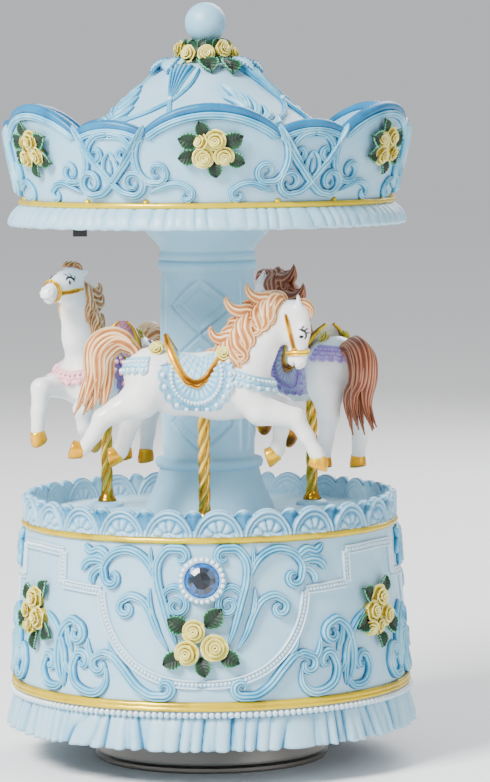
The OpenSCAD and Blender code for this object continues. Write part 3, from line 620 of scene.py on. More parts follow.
def column():
    """Bell foot, quilted shaft with paired ribs, two collars and a flared capital."""
    bell = smooth_path([(17.5, DECK_Z), (17.1, 66.5), (15.9, 69.5), (14.3, 73), (13.5, 76), (13.2, 77.2)], 3)
    ring = [(13.9, 77.4), (14.3, 78.3), (14.3, 79), (13.9, 79.7), (12.4, 80)]
    shaft = [(12.05 + 0.25 * math.sin(math.pi * t), 80.2 + 49 * t) for t in np.linspace(0, 1, 150)]
    collars = [(12.9, 129.6), (13.2, 130.3), (13.2, 131.2), (12.9, 131.9), (12.3, 132.1), (12.6, 132.4),
               (12.8, 133), (12.8, 133.8), (12.5, 134.3)]
    capital = smooth_path([(12.3, 134.6), (12.9, 135.9), (14.3, 137.5), (16.2, 139.4), (17.7, 141.2),
                           (18.4, 143.9)], 4)
    points = np.array([*bell, *ring, *shaft, *collars, *capital])
    steps, panels, first_panel = 360, 3, -100
    quilt_foot, quilt_pitch = 82, 15.5
    angles = np.arange(steps) * TAU / steps
    grid = np.zeros((steps, len(points), 3))
    tone = np.zeros(grid.shape[:2])
    turn = math.radians(first_panel)
    for j, (r, z) in enumerate(points):
        on_shaft = np.clip((z - 81.5) / 1.5, 0, 1) * np.clip((128 - z) / 1.5, 0, 1)
        across = ((angles - turn) * panels / TAU + 0.5) % 1 - 0.5
        up = (z - quilt_foot) / quilt_pitch % 1
        lozenge = np.abs(across) / 0.36 + abs(2 * up - 1)
        lines = (-0.5 * hump(lozenge, 1, 0.05) + 0.3 * hump(lozenge, 0.87, 0.05)
                 - 0.25 * hump(lozenge, 0.6, 0.05))
        edge = np.abs(np.abs(across) - 0.5)
        ribs = hump(edge, 0.062, 0.02) - 0.35 * hump(edge, 0, 0.03)
        lift = on_shaft * (0.7 * ribs + lines)
        grid[:, j] = spun(r + lift, angles, z)
        # painted shade and highlight: ribs and raised lines are paler and the grooves a deeper blue
        tone[:, j] = 0.6 + 0.5 * lift
    shape = Shape()
    shape.grid(grid, tone, wrap_u=True, flip=True)
    shape.fan(grid[:, 0], (0, 0, DECK_Z), 0.5, flip=True)
    shape.fan(grid[:, -1], (0, 0, 143.9), 0.5)
    return shape.build("column", [COLUMN], "carousel", ("centre_column",), "resin_blue")


# ---------------------------------------------------------------- crown and roof
SECTOR = TAU * ARC_R / 6                # arc from one large arch to the next


def crown_top(u):
    """Height of the crown's edge: large and small arches in turn."""
    u = (np.asarray(u, float) + SECTOR / 2) % SECTOR - SECTOR / 2
    near = np.abs(u)
    large_r, small_r = 25.6, 20
    large = ARCH_TOP - 1.0 - large_r + np.sqrt(np.clip(large_r ** 2 - near ** 2, 0, None))
    small = ARCH_TOP - 5.1 - small_r + np.sqrt(np.clip(small_r ** 2 - (near - SECTOR / 2) ** 2, 0, None))
    return np.maximum(large, small)


def crown_wall_piece():
    """The flared wall with its arched edge, which is deep blue along the top."""
    steps, rows = 720, 14
    u = np.arange(steps) * TAU * ARC_R / steps
    place = crown_wall(-90)
    foot, thick = 147.0, 2.6
    top = crown_top(u)[:, None] - 0.5
    t = np.linspace(0, 1, rows)[None]
    v = foot + (top - foot) * t
    uu = u[:, None] + 0 * t
    shape = Shape()
    shape.grid(place(uu, v, 0 * v), 0.2 + 0.25 * t ** 3 + 0 * uu, wrap_u=True, flip=True)
    shape.grid(place(uu, v, -thick + 0 * v), 0.35 + 0 * v, wrap_u=True)
    lip = smooth_path([(-0.2, -1.7), (0.35, -1.3), (0.45, -0.3), (-0.2, 0.45), (-1.3, 0.7), (-2.4, 0.45),
                       (-3.05, -0.3), (-2.95, -1.3), (-2.4, -1.7)], 3)
    shape.grid(place(u[:, None] + 0 * lip[:, 0], top + lip[:, 1], 0 * top + lip[:, 0]), 0.3, 1,
               wrap_u=True, flip=True)
    low = np.full(steps, foot)
    shape.grid(np.stack([place(u, low, 0), place(u, low, -thick)], 1), 0.2, wrap_u=True)
    return shape.build("crown_wall", [BLUE, EDGE], "carousel", ("cornice",), "resin_blue")


def crown_scrolls():
    """Bands that follow the arches, cross between them and end in volutes."""
    shape = Shape()
    half = SECTOR / 2
    inner = curl([(16.6, 168.2), (18.6, 164.6), (19.6, 160.6), (18.9, 156.6), (16.6, 154.0), (13.8, 153.6)],
                 (13.9, 156.3), 1.1, -1)
    cross = curl([(half - 10.2, 167.6), (half - 6.4, 161.4), (half - 1.8, 155.6), (half + 2.4, 151.4),
                  (half + 6.0, 150.4)], (half + 6.0, 153.7), 1.3, 1)
    cord = np.stack([np.linspace(half - 9.6, half - 2.6, 12), np.linspace(168, 157.2, 12)], -1)
    low = curl([(16.4, 151.0), (13.4, 152.4), (10.2, 153.4), (7.4, 153.0), (5.2, 151.6)],
               (6.7, 150.6), 0.8, 1)
    for k in range(6):
        place = crown_wall(-90 + 60 * k)
        u = np.linspace(-16.4, 16.4, 40)
        stroke(shape, place, np.stack([u, crown_top(u) - 3.0], -1), 2.1, 1.2, taper=(0.01, 0.01))
        u = np.linspace(half - 9.7, half + 9.7, 26)
        stroke(shape, place, np.stack([u, crown_top(u) - 2.8], -1), 1.8, 1.0, taper=(0.01, 0.01))
        stroke(shape, place, np.stack([u[2:-2], crown_top(u[2:-2]) - 4.5], -1), 0.7, 0.6, profile=rounded)
        for side in (1, -1):
            stroke(shape, place, inner, np.linspace(2.5, 1.6, len(inner)), 1.7, side=side)
            stroke(shape, place, cross, np.linspace(2.4, 1.6, len(cross)), 2.0, side=side)
            stroke(shape, place, cord, 0.6, 2.0, profile=rounded, side=side)
            stroke(shape, place, low, 1.8, 1.4, side=side)
        for side in (1, -1):
            arc = curl([(half, 166.2), (half + side * 3.4, 165.4), (half + side * 5.9, 162.6),
                        (half + side * 5.6, 159.9)], (half + side * 3.9, 161.0), 0.9, -side)
            stroke(shape, place, arc, 1.9, 1.4, taper=(0.01, 0.2))
            drop = [(half, 154.4), (half + side * 1.9, 156.8), (half + side * 1.6, 159.4), (half, 161.4)]
            stroke(shape, place, smooth_path(drop), 1.0, 1.3, profile=rounded, taper=(0.1, 0.2))
            for u in (6.2, 17.6):
                shape.copy_in(ball(1.0, 5, 9), set_on(place, side * u, 148.7, -0.1), 1)
        stroke(shape, place, np.stack([np.full(9, half), np.linspace(155.6, 159.6, 9)], -1), 1.2, 1.1,
               profile=rounded, taper=(0.2, 0.5))
    return shape.build("crown_scrolls", [SCROLL, GOLD], "carousel", slot="resin_blue")


ROOF_ARC = 20.0                         # radius at which u is true arc length on the roof
ROOF_OUTLINE = [(46.0, 153.4), (38.3, 160.4), (27.6, 169.4), (20.8, 174.8), (13.6, 181.2), (10.4, 183.4),
                (5, 184.2)]             # (radius, height)


def roof_radius(z):
    """Radius of the roof at a height."""
    heights = [p[1] for p in ROOF_OUTLINE]
    return np.interp(z, heights, [p[0] for p in ROOF_OUTLINE])


def roof_place(turn):
    """Wall coordinates on the roof's curved cone."""
    def place(u, v, w=0.0):
        angle = np.radians(turn + CANOPY_TURN) + np.asarray(u, float) / ROOF_ARC
        r = roof_radius(v) + np.asarray(w, float) * 0.75
        z = np.asarray(v, float) + np.asarray(w, float) * 0.66
        return spun(r, angle, z)
    return place


PENNANTS = (-115, -25, 65, 155)         # directions of the four ribs where ribbons cross on the roof


def roof():
    """The plain cone under the ribbons."""
    shape = Shape()
    outline = smooth_path(ROOF_OUTLINE, 8)
    inner = [(4.2, 181.5), (40, 156), (43.4, 153.4)]
    shape.grid(turned([*outline, *inner], 240), 0.15, wrap_u=True, wrap_v=True)
    return shape.build("roof_cone", [BLUE], "carousel", ("roof",), "resin_blue")


def pennant(shape, place):
    """A pleated pennant that hangs from the roses down to where two ribbons cross, with painted shade in its
    folds.
    """
    low_v, high_v = 174.4, 183.2
    s = np.linspace(-1, 1, 49)[:, None]
    t = np.linspace(0, 1, 16)[None]
    v = low_v + (high_v - low_v) * t
    half = 0.25 + 7.1 * t ** 0.9 * roof_radius(high_v) / roof_radius(v)
    pleat = np.cos(6 * math.pi * s)
    w = 0.3 + (0.4 + 1.3 * t) * (0.62 + 0.38 * pleat) * (1 - s ** 6)
    w = w - 1.2 * (np.abs(s) > 0.97) - 1.6 * (t > 0.99)
    # painted shade and highlight: pleat crests are paler and the folds darker, more strongly towards the top
    shape.grid(place(-2.2 * t + half * s, v + 0 * s, w), 0.35 + 0.35 * pleat * (0.4 + 0.6 * t), flip=True)


def roof_relief():
    """Four pleated pennants, ribbons that cross below them, and an acanthus spray in each field between."""
    shape = Shape()
    ribbons = [
        [(-8.4, 183.0), (-4.6, 180.4), (-1.8, 177.0), (-0.3, 174.4), (1.0, 171.2), (2.2, 168.0),
         (3.0, 163.0)],
        [(6.2, 182.4), (4.4, 178.8), (2.0, 176.0), (0.0, 174.0), (-3.6, 171.4), (-8.2, 169.0),
         (-12.6, 165.8)],
    ]
    root = np.array([2.6, 166.0])
    stem = smooth_path([root, root + (-1.2, 3.2), root + (-3.6, 7.0)])
    for rib in PENNANTS:
        place = roof_place(rib - CANOPY_TURN)
        pennant(shape, place)
        for path in ribbons:
            stroke(shape, place, smooth_path(path), 1.15, 0.9, taper=(0.02, 0.05), shade_tone=0.0,
                   highlight_tone=0.55)
        shape.copy_in(ball(0.85, 5, 9), set_on(place, 0, 174.2, 0.6))
        place = roof_place(rib + 50 - CANOPY_TURN)
        stroke(shape, place, stem, 1.1, 1.2, profile=rounded)
        for i in range(11):
            a = math.radians(16 + 21 * i)
            start = stem[min(3 * i, 3 * (10 - i), len(stem) - 1)]
            reach = 6.6 - 0.5 * abs(i - 5)
            tip = start + reach * np.array([math.cos(a), math.sin(a)])
            bend = (start + tip) / 2 + 0.8 * np.array([math.sin(a), -math.cos(a)])
            stroke(shape, place, smooth_path([start, bend, tip]), 2.0, 1.7, profile=rounded, taper=(0.1, 0.5),
                   shade_tone=0.0)
    return shape.build("roof_relief", [SCROLL], "carousel", slot="resin_blue")


def finial_ball():
    """The ball on its neck, closed and smooth."""
    low, high = mm_box("finial_ball")
    r = (high[0] - low[0]) / 2 - 0.02
    centre = high[2] - r - 0.02
    phi = np.linspace(0.02, math.pi - 0.55, 26)
    outline = [(r * math.sin(p), centre + r * math.cos(p)) for p in phi]
    outline += [(2.7, centre - r - 0.2), (2.5, 186), (0.2, 186)]
    shape = Shape()
    shape.grid(turned(outline, 64), 0.3, wrap_u=True)
    return shape.build("finial_ball_cast", [BLUE], "carousel", ("finial_ball",), "resin_blue")


# ---------------------------------------------------------------- base ornament
def drum_scrolls():
    """Acanthus scrolls round each medallion and along the foot of the drum wall."""
    shape = Shape()
    strokes = [
        (curl([(6.4, 36.4), (8.2, 41), (10.1, 47.5), (11.6, 53), (11.6, 57.6), (9.2, 60.9), (6.2, 61.2)],
              (5.6, 59.1), 0.8, 1), 2.7, 1.9),
        (curl([(8.6, 35.4), (11.2, 39.5), (13.2, 44.2), (15.3, 47.6), (18.6, 48.9), (21.4, 47.6)],
              (20.0, 45.8), 1.0, -1), 2.4, 1.7),
        (curl([(11.0, 50.0), (12.6, 54.6), (15.2, 58.6), (19.4, 60.6), (24, 59.6), (26.8, 56.4),
               (26.4, 53.0)], (24.2, 53.4), 0.95, -1), 2.5, 1.9),
        (curl([(10.4, 47.2), (9.6, 50.2), (7.2, 51.5), (4.9, 50.2), (4.0, 47.4)],
              (6.5, 46.9), 1.15, 1), 2.0, 1.6),
        (curl([(27.2, 32.4), (24.2, 33.6), (20.8, 30.6), (17.0, 26.2), (13.4, 23.9), (10.2, 23.7)],
              (9.6, 26.0), 0.95, -1), 2.7, 1.9),
        (curl([(21.8, 31.6), (25.4, 33.9), (28.7, 32.9)], (27.2, 30.9), 0.85, -1), 2.3, 1.8),
        (curl([(25.4, 30.6), (25.4, 26.6), (27.6, 24.0), (31.2, 23.8), (34.8, 25.8), (36.0, 29.8),
               (34.6, 33.2)], (32.9, 31.5), 0.9, 1), 2.5, 1.8),
        (curl([(39.0, 24.4), (41.2, 29.0), (41.6, 34.4), (40.2, 39.0), (37.0, 41.6), (33.9, 40.6)],
              (35.0, 38.3), 0.95, 1), 2.6, 1.9),
        (smooth_path([(47.5, 43.0), (43.0, 39.6), (39.6, 34.0), (38.6, 25.0)]), 2.3, 1.6),
        (curl([(39.0, 27.0), (41.3, 24.3), (45.5, 24.6), (47.7, 28.0), (46.6, 31.5)], (44.6, 30.0), 0.9, 1),
         2.4, 1.8),
        (smooth_path([(24.6, 57.6), (28.0, 60.0), (31.0, 59.4), (33.4, 61.4)]), 2.7, 1.8),
        (smooth_path([(25.4, 57.0), (29.2, 57.8), (32.2, 57.0), (34.0, 54.6)]), 2.8, 1.9),
        (smooth_path([(25.8, 56.0), (28.6, 55.4), (30.4, 53.4), (30.2, 51.4)]), 2.5, 1.8),
    ]
    leaves = [((12.0, 52.4), (13.6, 61.6)), ((12.4, 42.4), (13.6, 51.2)), ((36.4, 33.4), (38.6, 41.4)),
              ((37.0, 27.6), (39.8, 34.4)), ((29.0, 31.0), (31.4, 37.4)), ((22.2, 33.6), (24.8, 38.2))]
    for station in STATIONS:
        place = drum_wall(station)
        for side in (1, -1):
            for path, width, height in strokes:
                stroke(shape, place, path, width, height, side=side, shade_tone=0.0)
            for low, high in leaves:
                bend = ((low[0] + high[0]) / 2 + 0.6, (low[1] + high[1]) / 2)
                stroke(shape, place, smooth_path([low, bend, high]), 2.0, 1.5, taper=(0.3, 0.5), side=side,
                       shade_tone=0.0)
    return shape.build("drum_scrolls", [SCROLL], "carousel", slot="resin_blue")


def resampled(path, count):
    """A path with count points, shared out evenly between its own."""
    old, new = np.linspace(0, 1, len(path)), np.linspace(0, 1, count)
    return np.stack([np.interp(new, old, column) for column in path.T], -1)


def drum_frame():
    """The beaded double line that runs round medallions and side roses."""
    def flat_bed(s):
        return np.clip(1.6 - 1.6 * s ** 4, 0, 1)
    shape = Shape()
    t = np.linspace(0, math.pi / 2, 30)
    bowl = np.stack([27.4 * np.cos(t) ** 0.8, 49.8 - 23.0 * np.sin(t) ** 1.15], -1)[::-1]
    ledge = np.array([(27.4, 49.8), (41.2, 50.6)])
    riser = np.array([(41.2, 50.6), (41.2, 58.8)])
    lintel = np.array([(41.2, 58.8), (TAU * ARC_R / 6, 59.2)])
    for station in STATIONS:
        place = drum_wall(station)
        for side in (1, -1):
            for path in (bowl, ledge, riser, lintel):
                dense = resampled(path, 40)
                stroke(shape, place, dense, 2.3, 0.42, profile=flat_bed, taper=(0.001, 0.001), side=side,
                       shade_tone=0.1, highlight_tone=0.1)
                for off in (-0.95, 0.95):
                    stroke(shape, place, dense + off * normals(dense), 0.6, 0.95, mat=1, profile=rounded,
                           taper=(0.001, 0.001), side=side)
                bead_row(shape, place, dense, 0.5, mat=1, side=side, lift=0.9)
    return shape.build("drum_frame", [BLUE, PEARL], "carousel", slot="resin_blue")


def medallion(station, node):
    """A faceted stone in a ring of pearls."""
    shape = Shape()
    here, axes = wall_frame(drum_wall(station), 0, 53.2)

    def stand(points):
        return points @ axes + here
    ring = Shape()
    collar = [(4.3, 0.2), (4.5, 1.5), (4.9, 1.8), (5.3, 1.4), (6.2, 0.9), (6.3, -0.6)]
    ring.grid(turned(collar, 64), 0.2, wrap_u=True, flip=True)
    bead, beads, bead_ring_r, bead_z = ball(0.66, 6, 10), 24, 5.35, 1.45
    for i in range(beads):
        ring.copy_in(bead, moved(spun(bead_ring_r, TAU * i / beads, bead_z)))
    shape.copy_in(ring, stand)
    shape.build("pearl_ring_" + node, [PEARL], "carousel", slot="resin_blue")
    stone = Shape()
    facets = 16
    corners = np.arange(facets)
    pairs = corners // 2 * 2 + 0.5
    rows = [(4.45, 0.3, corners), (4.35, 1.3, corners), (3.5, 2.0, corners + 0.5), (2.3, 2.55, pairs),
            (0.0, 2.6, pairs)]
    circles = [spun(r, corner * TAU / facets, z) for r, z, corner in rows]
    # painted reflections: the rows run from a pale blue girdle to a dark table, and each facet is set a
    # little lighter or darker as glints
    glint_tones = (0.95, 0.8, 0.62, 0.3, 0.1)
    for i in range(len(rows) - 1):
        for j in range(facets):
            k = (j + 1) % facets
            quad = [circles[i][j], circles[i][k], circles[i + 1][k], circles[i + 1][j]]
            tone = (glint_tones[i] + glint_tones[i + 1]) / 2 + 0.12 * ((j * 7 + i * 3) % 5 - 2) / 2
            stone.add(quad, [(0, 1, 2), (0, 2, 3)], tone)
    placed = Shape()
    placed.copy_in(stone, stand)
    piece = placed.build("stone_" + node, [STONE], "carousel", (node,), "gem")
    piece.data.polygons.foreach_set("use_smooth", [False] * len(piece.data.polygons))


# ---------------------------------------------------------------- roses and leaves
def petal(shape, angle, width, inner, outer, base_z, top_z, curl_out, lip_highlight):
    """One closed petal: it rises from inner to outer radius and its lip rolls outwards."""
    s = np.linspace(-1, 1, 9)[:, None]
    t = np.linspace(0, 1, 7)[None]
    r = inner + (outer - inner) * t ** 0.7 + curl_out * np.clip(t - 0.6, 0, 1) ** 1.5
    z = base_z + (top_z - base_z) * np.sin(math.pi / 2 * np.minimum(t * 1.15, 1)) * (1 - 0.3 * s ** 2 * t)
    z = z - curl_out * 0.5 * np.clip(t - 0.75, 0, 1)
    a = angle + s * width * (0.6 + 0.4 * np.sin(math.pi * t * 0.6))
    front = spun(r, a, z)
    back = spun(r - 0.09, a, z - 0.03)
    # painted shade and highlight: each petal darkens towards its base deep in the rose and pales at its lip
    tone = lip_highlight * t ** 2 + 0 * s
    shape.grid(np.concatenate([front, back[:, ::-1]], 1), np.concatenate([tone, tone[:, ::-1]], 1),
               wrap_v=True, caps=True)


def rose_shape(seed):
    """A full rose of radius 1 with its +Z towards the viewer."""
    dice = random.Random(seed)
    shape = Shape()
    core = turned([(0.01, 0.5), (0.2, 0.46), (0.42, 0.3), (0.7, 0.05), (0.8, -0.25)], 24)
    # painted shade: the core in the middle of the rose gets the darkest tone
    shape.grid(core, 0.05, wrap_u=True, flip=True)
    rings = [(2, 1.5, 0.05, 0.22, 0.3, 0.88, 0.02), (3, 1.25, 0.16, 0.42, 0.2, 0.82, 0.06),
             (3, 1.15, 0.34, 0.68, 0.05, 0.66, 0.14), (5, 0.95, 0.56, 0.98, -0.3, 0.34, 0.2)]
    for count, width, inner, outer, base_z, top_z, roll in rings:
        start = dice.uniform(0, TAU)
        for i in range(count):
            petal(shape, start + TAU * i / count + dice.uniform(-0.12, 0.12), width * TAU / count / 1.6,
                  inner, outer * dice.uniform(0.94, 1.04), base_z, top_z * dice.uniform(0.92, 1.05),
                  roll, 0.95)
    return shape


def leaf_shape():
    """A serrated leaf of length 1 along +X, folded along its midrib."""
    shape = Shape()
    t = np.linspace(0.0, 1, 31)[:, None]
    s = np.linspace(-1, 1, 11)[None]
    teeth = 1 + 0.2 * ((t * 6.5) % 1 - 0.35)
    half = 0.4 * np.sin(math.pi * np.clip(t, 0.02, 0.985) ** 0.85) ** 0.8 * np.where(t > 0.1, teeth, 1)
    veins = 0.025 * np.cos(TAU * 6.5 * (t - 0.16 * np.abs(s)))
    z = 0.1 * np.abs(s) - 0.05 + 0.16 * np.sin(math.pi * t) + veins * np.clip(np.abs(s) * 2, 0, 1)
    top = np.stack([t + 0.07 * np.abs(s) * np.sin(math.pi * t), half * s, z + 0 * s * t], -1)
    under = top[:, ::-1] - np.array([0, 0, 0.09])
    edge = np.clip((np.abs(s) - 0.72) / 0.25, 0, 1) + 0 * t
    # painted shade and highlight: vein ridges are paler, the furrows between them and the midrib crease
    # darker; the pale rim is the bare resin at the leaf's edge, and the underside keeps one tone
    tone = np.clip(0.25 + 6 * veins + 0.75 * edge, 0, 1) - 0.25 * hump(s, 0, 0.14)
    shape.grid(np.concatenate([top, under], 1), np.concatenate([tone, 0 * tone + 0.5], 1),
               wrap_v=True, caps=True)
    return shape


ROSES = [rose_shape(seed) for seed in range(4)]
LEAFLET = leaf_shape()


def cluster(shape, place, u, v, roses, leaves, buds=()):
    """Leaves (u, v, heading, size), then roses (u, v, size) and buds (u, v, size, heading) over them."""
    for du, dv, heading, size in leaves:
        shape.copy_in(LEAFLET, set_on(place, u + du, v + dv, 0.55, heading, size, -8), 1)
    for i, (du, dv, size) in enumerate(roses):
        tilt = random.uniform(-12, 12)
        shape.copy_in(ROSES[i % 4], set_on(place, u + du, v + dv, 0.9, 40 * i, size, tilt))
    for du, dv, size, heading in buds:
        shape.copy_in(ROSES[3], set_on(place, u + du, v + dv, 0.7, heading, size, 38))


def base_roses():
    """Three roses under each medallion and four with a bud at each side."""
    shape = Shape()
    for station in STATIONS:
        cluster(shape, drum_wall(station), -0.6, 37.4,
                [(-1.4, 3.0, 3.0), (-3.2, -2.4, 3.2), (3.6, -1.2, 3.5)],
                [(-3.2, 3.4, 152, 5.8), (1.4, 4.0, 48, 6.4), (-4.4, -3.2, 205, 5.6), (4.8, -2.6, -28, 5.8),
                 (0.2, -3.6, -78, 5.2)])
        cluster(shape, drum_wall(station + 60), 0, 42,
                [(0.4, 3.6, 3.1), (-3.2, 0.2, 2.9), (2.8, -1.2, 3.2), (-1.0, -3.6, 2.5)],
                [(-2.4, 3.4, 145, 5.4), (2.4, 4.4, 55, 5.2), (-4.6, -1.6, 200, 5.8), (4.2, -3.0, -30, 5.6),
                 (0.4, -4.8, -85, 5.0)], [(-3.8, -4.0, 2.2, 215)])
    return shape.build("base_roses", [ROSE, LEAF], "carousel", ("base_rose_clusters",), "rose_cream")


def crown_roses():
    """A spray of roses, a bud and six leaves in each large arch."""
    shape = Shape()
    for k in range(6):
        cluster(shape, crown_wall(-90 + 60 * k), 0, 162.2,
                [(1.0, 2.3, 2.75), (-2.3, -2.2, 2.8), (2.9, -1.7, 2.6)],
                [(-3.0, 1.6, 168, 5.6), (-1.6, 3.0, 112, 4.6), (2.4, 1.2, 22, 5.8), (-3.4, -1.4, 190, 5.2),
                 (3.6, -1.8, -22, 5.0), (0.4, -2.8, -82, 4.6)], [(-2.6, 1.8, 2.2, 150)])
    return shape.build("crown_roses", [ROSE, LEAF], "carousel", ("cornice_rose_clusters",), "rose_cream")


def hanging_leaves(shape):
    """Leaves that hang from under the roses onto the roof's shoulder, clear of the four ribs."""
    slope = roof_place(-90)
    leaves, clear, back = 14, 11, np.array([0.62, 0, 0])
    for i in range(leaves):
        angle = 2.5 + 360 / leaves * i
        if min(abs((angle - 90 - rib + 180) % 360 - 180) for rib in PENNANTS) < clear:
            continue
        u, v = math.radians(angle) * ROOF_ARC, 182.4 - 0.4 * (i % 2)
        hang = set_on(slope, u, v, 1.0, -90 + 12 * (-1) ** i, 6.6)
        shape.copy_in(LEAFLET, lambda p, at=hang: at(p - back), 1 if i < 2 else 2)


def finial_wreath():
    """Roses and leaves round the neck of the finial ball."""
    shape = Shape()
    low, high = mm_box("finial_roses")
    foot, arc_r = low[2], 6.4
    place = wall((foot, 6.6), (high[2], 5.2), CANOPY_TURN - 90, arc_r)
    count = 9
    sector = TAU * arc_r / count
    for i in range(count):
        u = sector * i
        if i % 2 == 0:
            spin = -100 + 24 * (i % 4)
            shape.copy_in(LEAFLET, set_on(place, u + 0.3 * sector, foot + 1.9, 0.5, spin, 5.4), 1)
        look = 2 if i % 3 else 1
        shape.copy_in(LEAFLET, set_on(place, u + sector / 2, foot + 1.6, 0.1, -60 - 50 * (i % 3), 4.2), look)
        shape.copy_in(LEAFLET, set_on(place, u + sector / 2, foot + 3.8, 0.0, 55 + 60 * (i % 2), 3.0), 1)
        shape.copy_in(ROSES[i % 4], set_on(place, u, foot + 2.3 + 1.3 * (i % 2), 0.8, 50 * i, 2.35))
    hanging_leaves(shape)
    core = turned([(3, foot), (6.2, foot), (6.4, foot + 3), (4.2, high[2] - 0.4), (3, high[2] - 0.4)], 40)
    shape.grid(core, 0.4, 1, wrap_u=True, wrap_v=True)
    return shape.build("finial_wreath", [ROSE, LEAF, BLUE], "carousel", ("finial_roses",), "rose_cream")


# ---------------------------------------------------------------- horses: skin
def limb(at, start, end, flat=1.0):
    """Distance to a tapered limb between two (x, y, z, radius) ends, made wide or narrow sideways by flat."""
    (ax, ay, az, ar), (bx, by, bz, br) = start, end
    px, py, pz = at[0] - ax, (at[1] - ay) / flat, at[2] - az
    dx, dy, dz = bx - ax, (by - ay) / flat, bz - az
    t = np.clip((px * dx + py * dy + pz * dz) / (dx * dx + dy * dy + dz * dz), 0, 1)
    return np.sqrt((px - t * dx) ** 2 + (py - t * dy) ** 2 + (pz - t * dz) ** 2) - (ar + t * (br - ar))


def melt(a, b, soft):
    """Two shapes run together with a soft joint."""
    joint = np.clip(soft - np.abs(a - b), 0, None) / soft
    return np.minimum(a, b) - joint * joint * soft / 4


def skin_mesh(field, low, high, step):
    """The zero surface of a field as points and quads, with one point in each cell that it crosses."""
    axes = [np.arange(a, b, step, dtype=np.float32) for a, b in zip(low, high)]
    value = field(np.meshgrid(*axes, indexing="ij"))
    inside = value < 0
    nx, ny, nz = np.array(inside.shape) - 1
    corners = sum(inside[i:nx + i, j:ny + j, k:nz + k].astype(int)
                  for i in (0, 1) for j in (0, 1) for k in (0, 1))
    crossed = (corners > 0) & (corners < 8)
    cells = np.argwhere(crossed)
    number = np.full(crossed.shape, -1)
    number[crossed] = np.arange(len(cells))
    total, hits = np.zeros((len(cells), 3)), np.zeros((len(cells), 1))
    faces = []
    for axis in range(3):
        one, two = np.eye(3, dtype=int)[[(axis + 1) % 3, (axis + 2) % 3]]
        along = np.eye(3, dtype=int)[axis]
        for i in (0, 1):
            for j in (0, 1):
                start = cells + i * one + j * two
                v0, v1 = value[tuple(start.T)], value[tuple((start + along).T)]
                cut = ((v0 < 0) != (v1 < 0))[:, None]
                share = (v0 / np.where(v0 == v1, 1, v0 - v1))[:, None]
                total += cut * (start + share * along)
                hits += cut
        edge = np.argwhere(np.diff(inside, axis=axis))
        edge = edge[np.all(edge > 0, axis=1)]
        ring = np.stack([number[tuple((edge - a * one - b * two).T)]
                         for a, b in ((1, 1), (0, 1), (0, 0), (1, 0))], 1)
        outward = inside[tuple(edge.T)]
        faces.append(np.where(outward[:, None], ring, ring[:, ::-1]))
    return np.array(low) + step * total / hits, np.concatenate(faces)


# A leg is a chain of (x, y, z, radius) from the body down, and the (x, z) direction of its toe.
LEG_FRONT = {
    "near_fore": ([(10.5, -4.0, 100, 4.8), (14.6, -4.6, 95.2, 3.8), (23.6, -5, 93.2, 2.5),
                   (26.5, -5, 88.4, 1.95), (28.8, -5, 84.4, 1.75), (29.3, -5, 83.4, 1.9)], (0.94, -0.34)),
    "far_fore": ([(11, 4, 100, 4.4), (14, 4.4, 98.0, 3.5), (20.4, 4.6, 95.4, 2.4), (19.8, 4.6, 89.4, 1.9),
                  (18.9, 4.6, 84.8, 1.75), (18.6, 4.6, 83.8, 1.9)], (0.3, -0.95)),
    "near_hind": ([(-13, -3.2, 102.6, 6.2), (-16, -4.2, 98.2, 5.0), (-21.6, -4.8, 95.6, 3.1),
                   (-25.6, -4.8, 93.4, 2.5), (-28.2, -4.8, 89, 1.95), (-30.8, -4.8, 85.4, 1.8)],
                  (-0.35, -0.94)),
    "far_hind": ([(-13, 3.2, 103, 6), (-16, 4.2, 98, 4.8), (-18.6, 4.4, 93, 2.9), (-20.4, 4.4, 88, 2.0),
                  (-21.6, 4.4, 84.6, 1.8), (-21.9, 4.4, 83.6, 1.85)], (0.1, -1.0)),
}
HIND_STANDING = {
    "near_hind": ([(-13, -3.2, 103, 6.2), (-15.5, -4.2, 98, 5), (-18.6, -4.4, 90, 2.8),
                   (-17.4, -4.4, 84, 2.0), (-16.6, -4.4, 79.4, 1.85)], (0.98, -0.2)),
    "far_hind": ([(-13, 3.2, 103, 6.0), (-14.5, 4.2, 98, 5), (-16.0, 4.4, 90.5, 2.8), (-14.4, 4.4, 84, 2.0),
                  (-13.4, 4.4, 79.4, 1.85)], (0.98, -0.2)),
}
LEG_LEFT = dict(
    HIND_STANDING,
    near_fore=([(11, -4, 100.5, 4.6), (15, -4.8, 99, 3.5), (24.6, -5, 98.6, 2.6), (26, -5, 92.4, 1.95),
                (26.6, -5, 87.4, 1.8)], (0.85, -0.5)),
    far_fore=([(11, 4, 99, 4.5), (14, 4.6, 95, 3.4), (19.6, 4.8, 93, 2.5), (18.6, 4.8, 88, 1.95),
               (16.4, 4.8, 84.6, 1.8)], (0.1, -1)))
LEG_RIGHT = dict(
    HIND_STANDING,
    near_fore=([(11, -4, 99.5, 4.6), (15, -4.6, 95.5, 3.5), (22.2, -5, 93, 2.5), (22, -5, 87.6, 1.95),
                (21.4, -5, 82.8, 1.8)], (0.4, -0.9)),
    far_fore=([(11, 4, 100, 4.5), (15, 4.6, 98, 3.5), (21.6, 4.8, 96, 2.5), (20.4, 4.8, 90, 1.95),
               (19, 4.8, 86.6, 1.8)], (0.2, -0.97)))
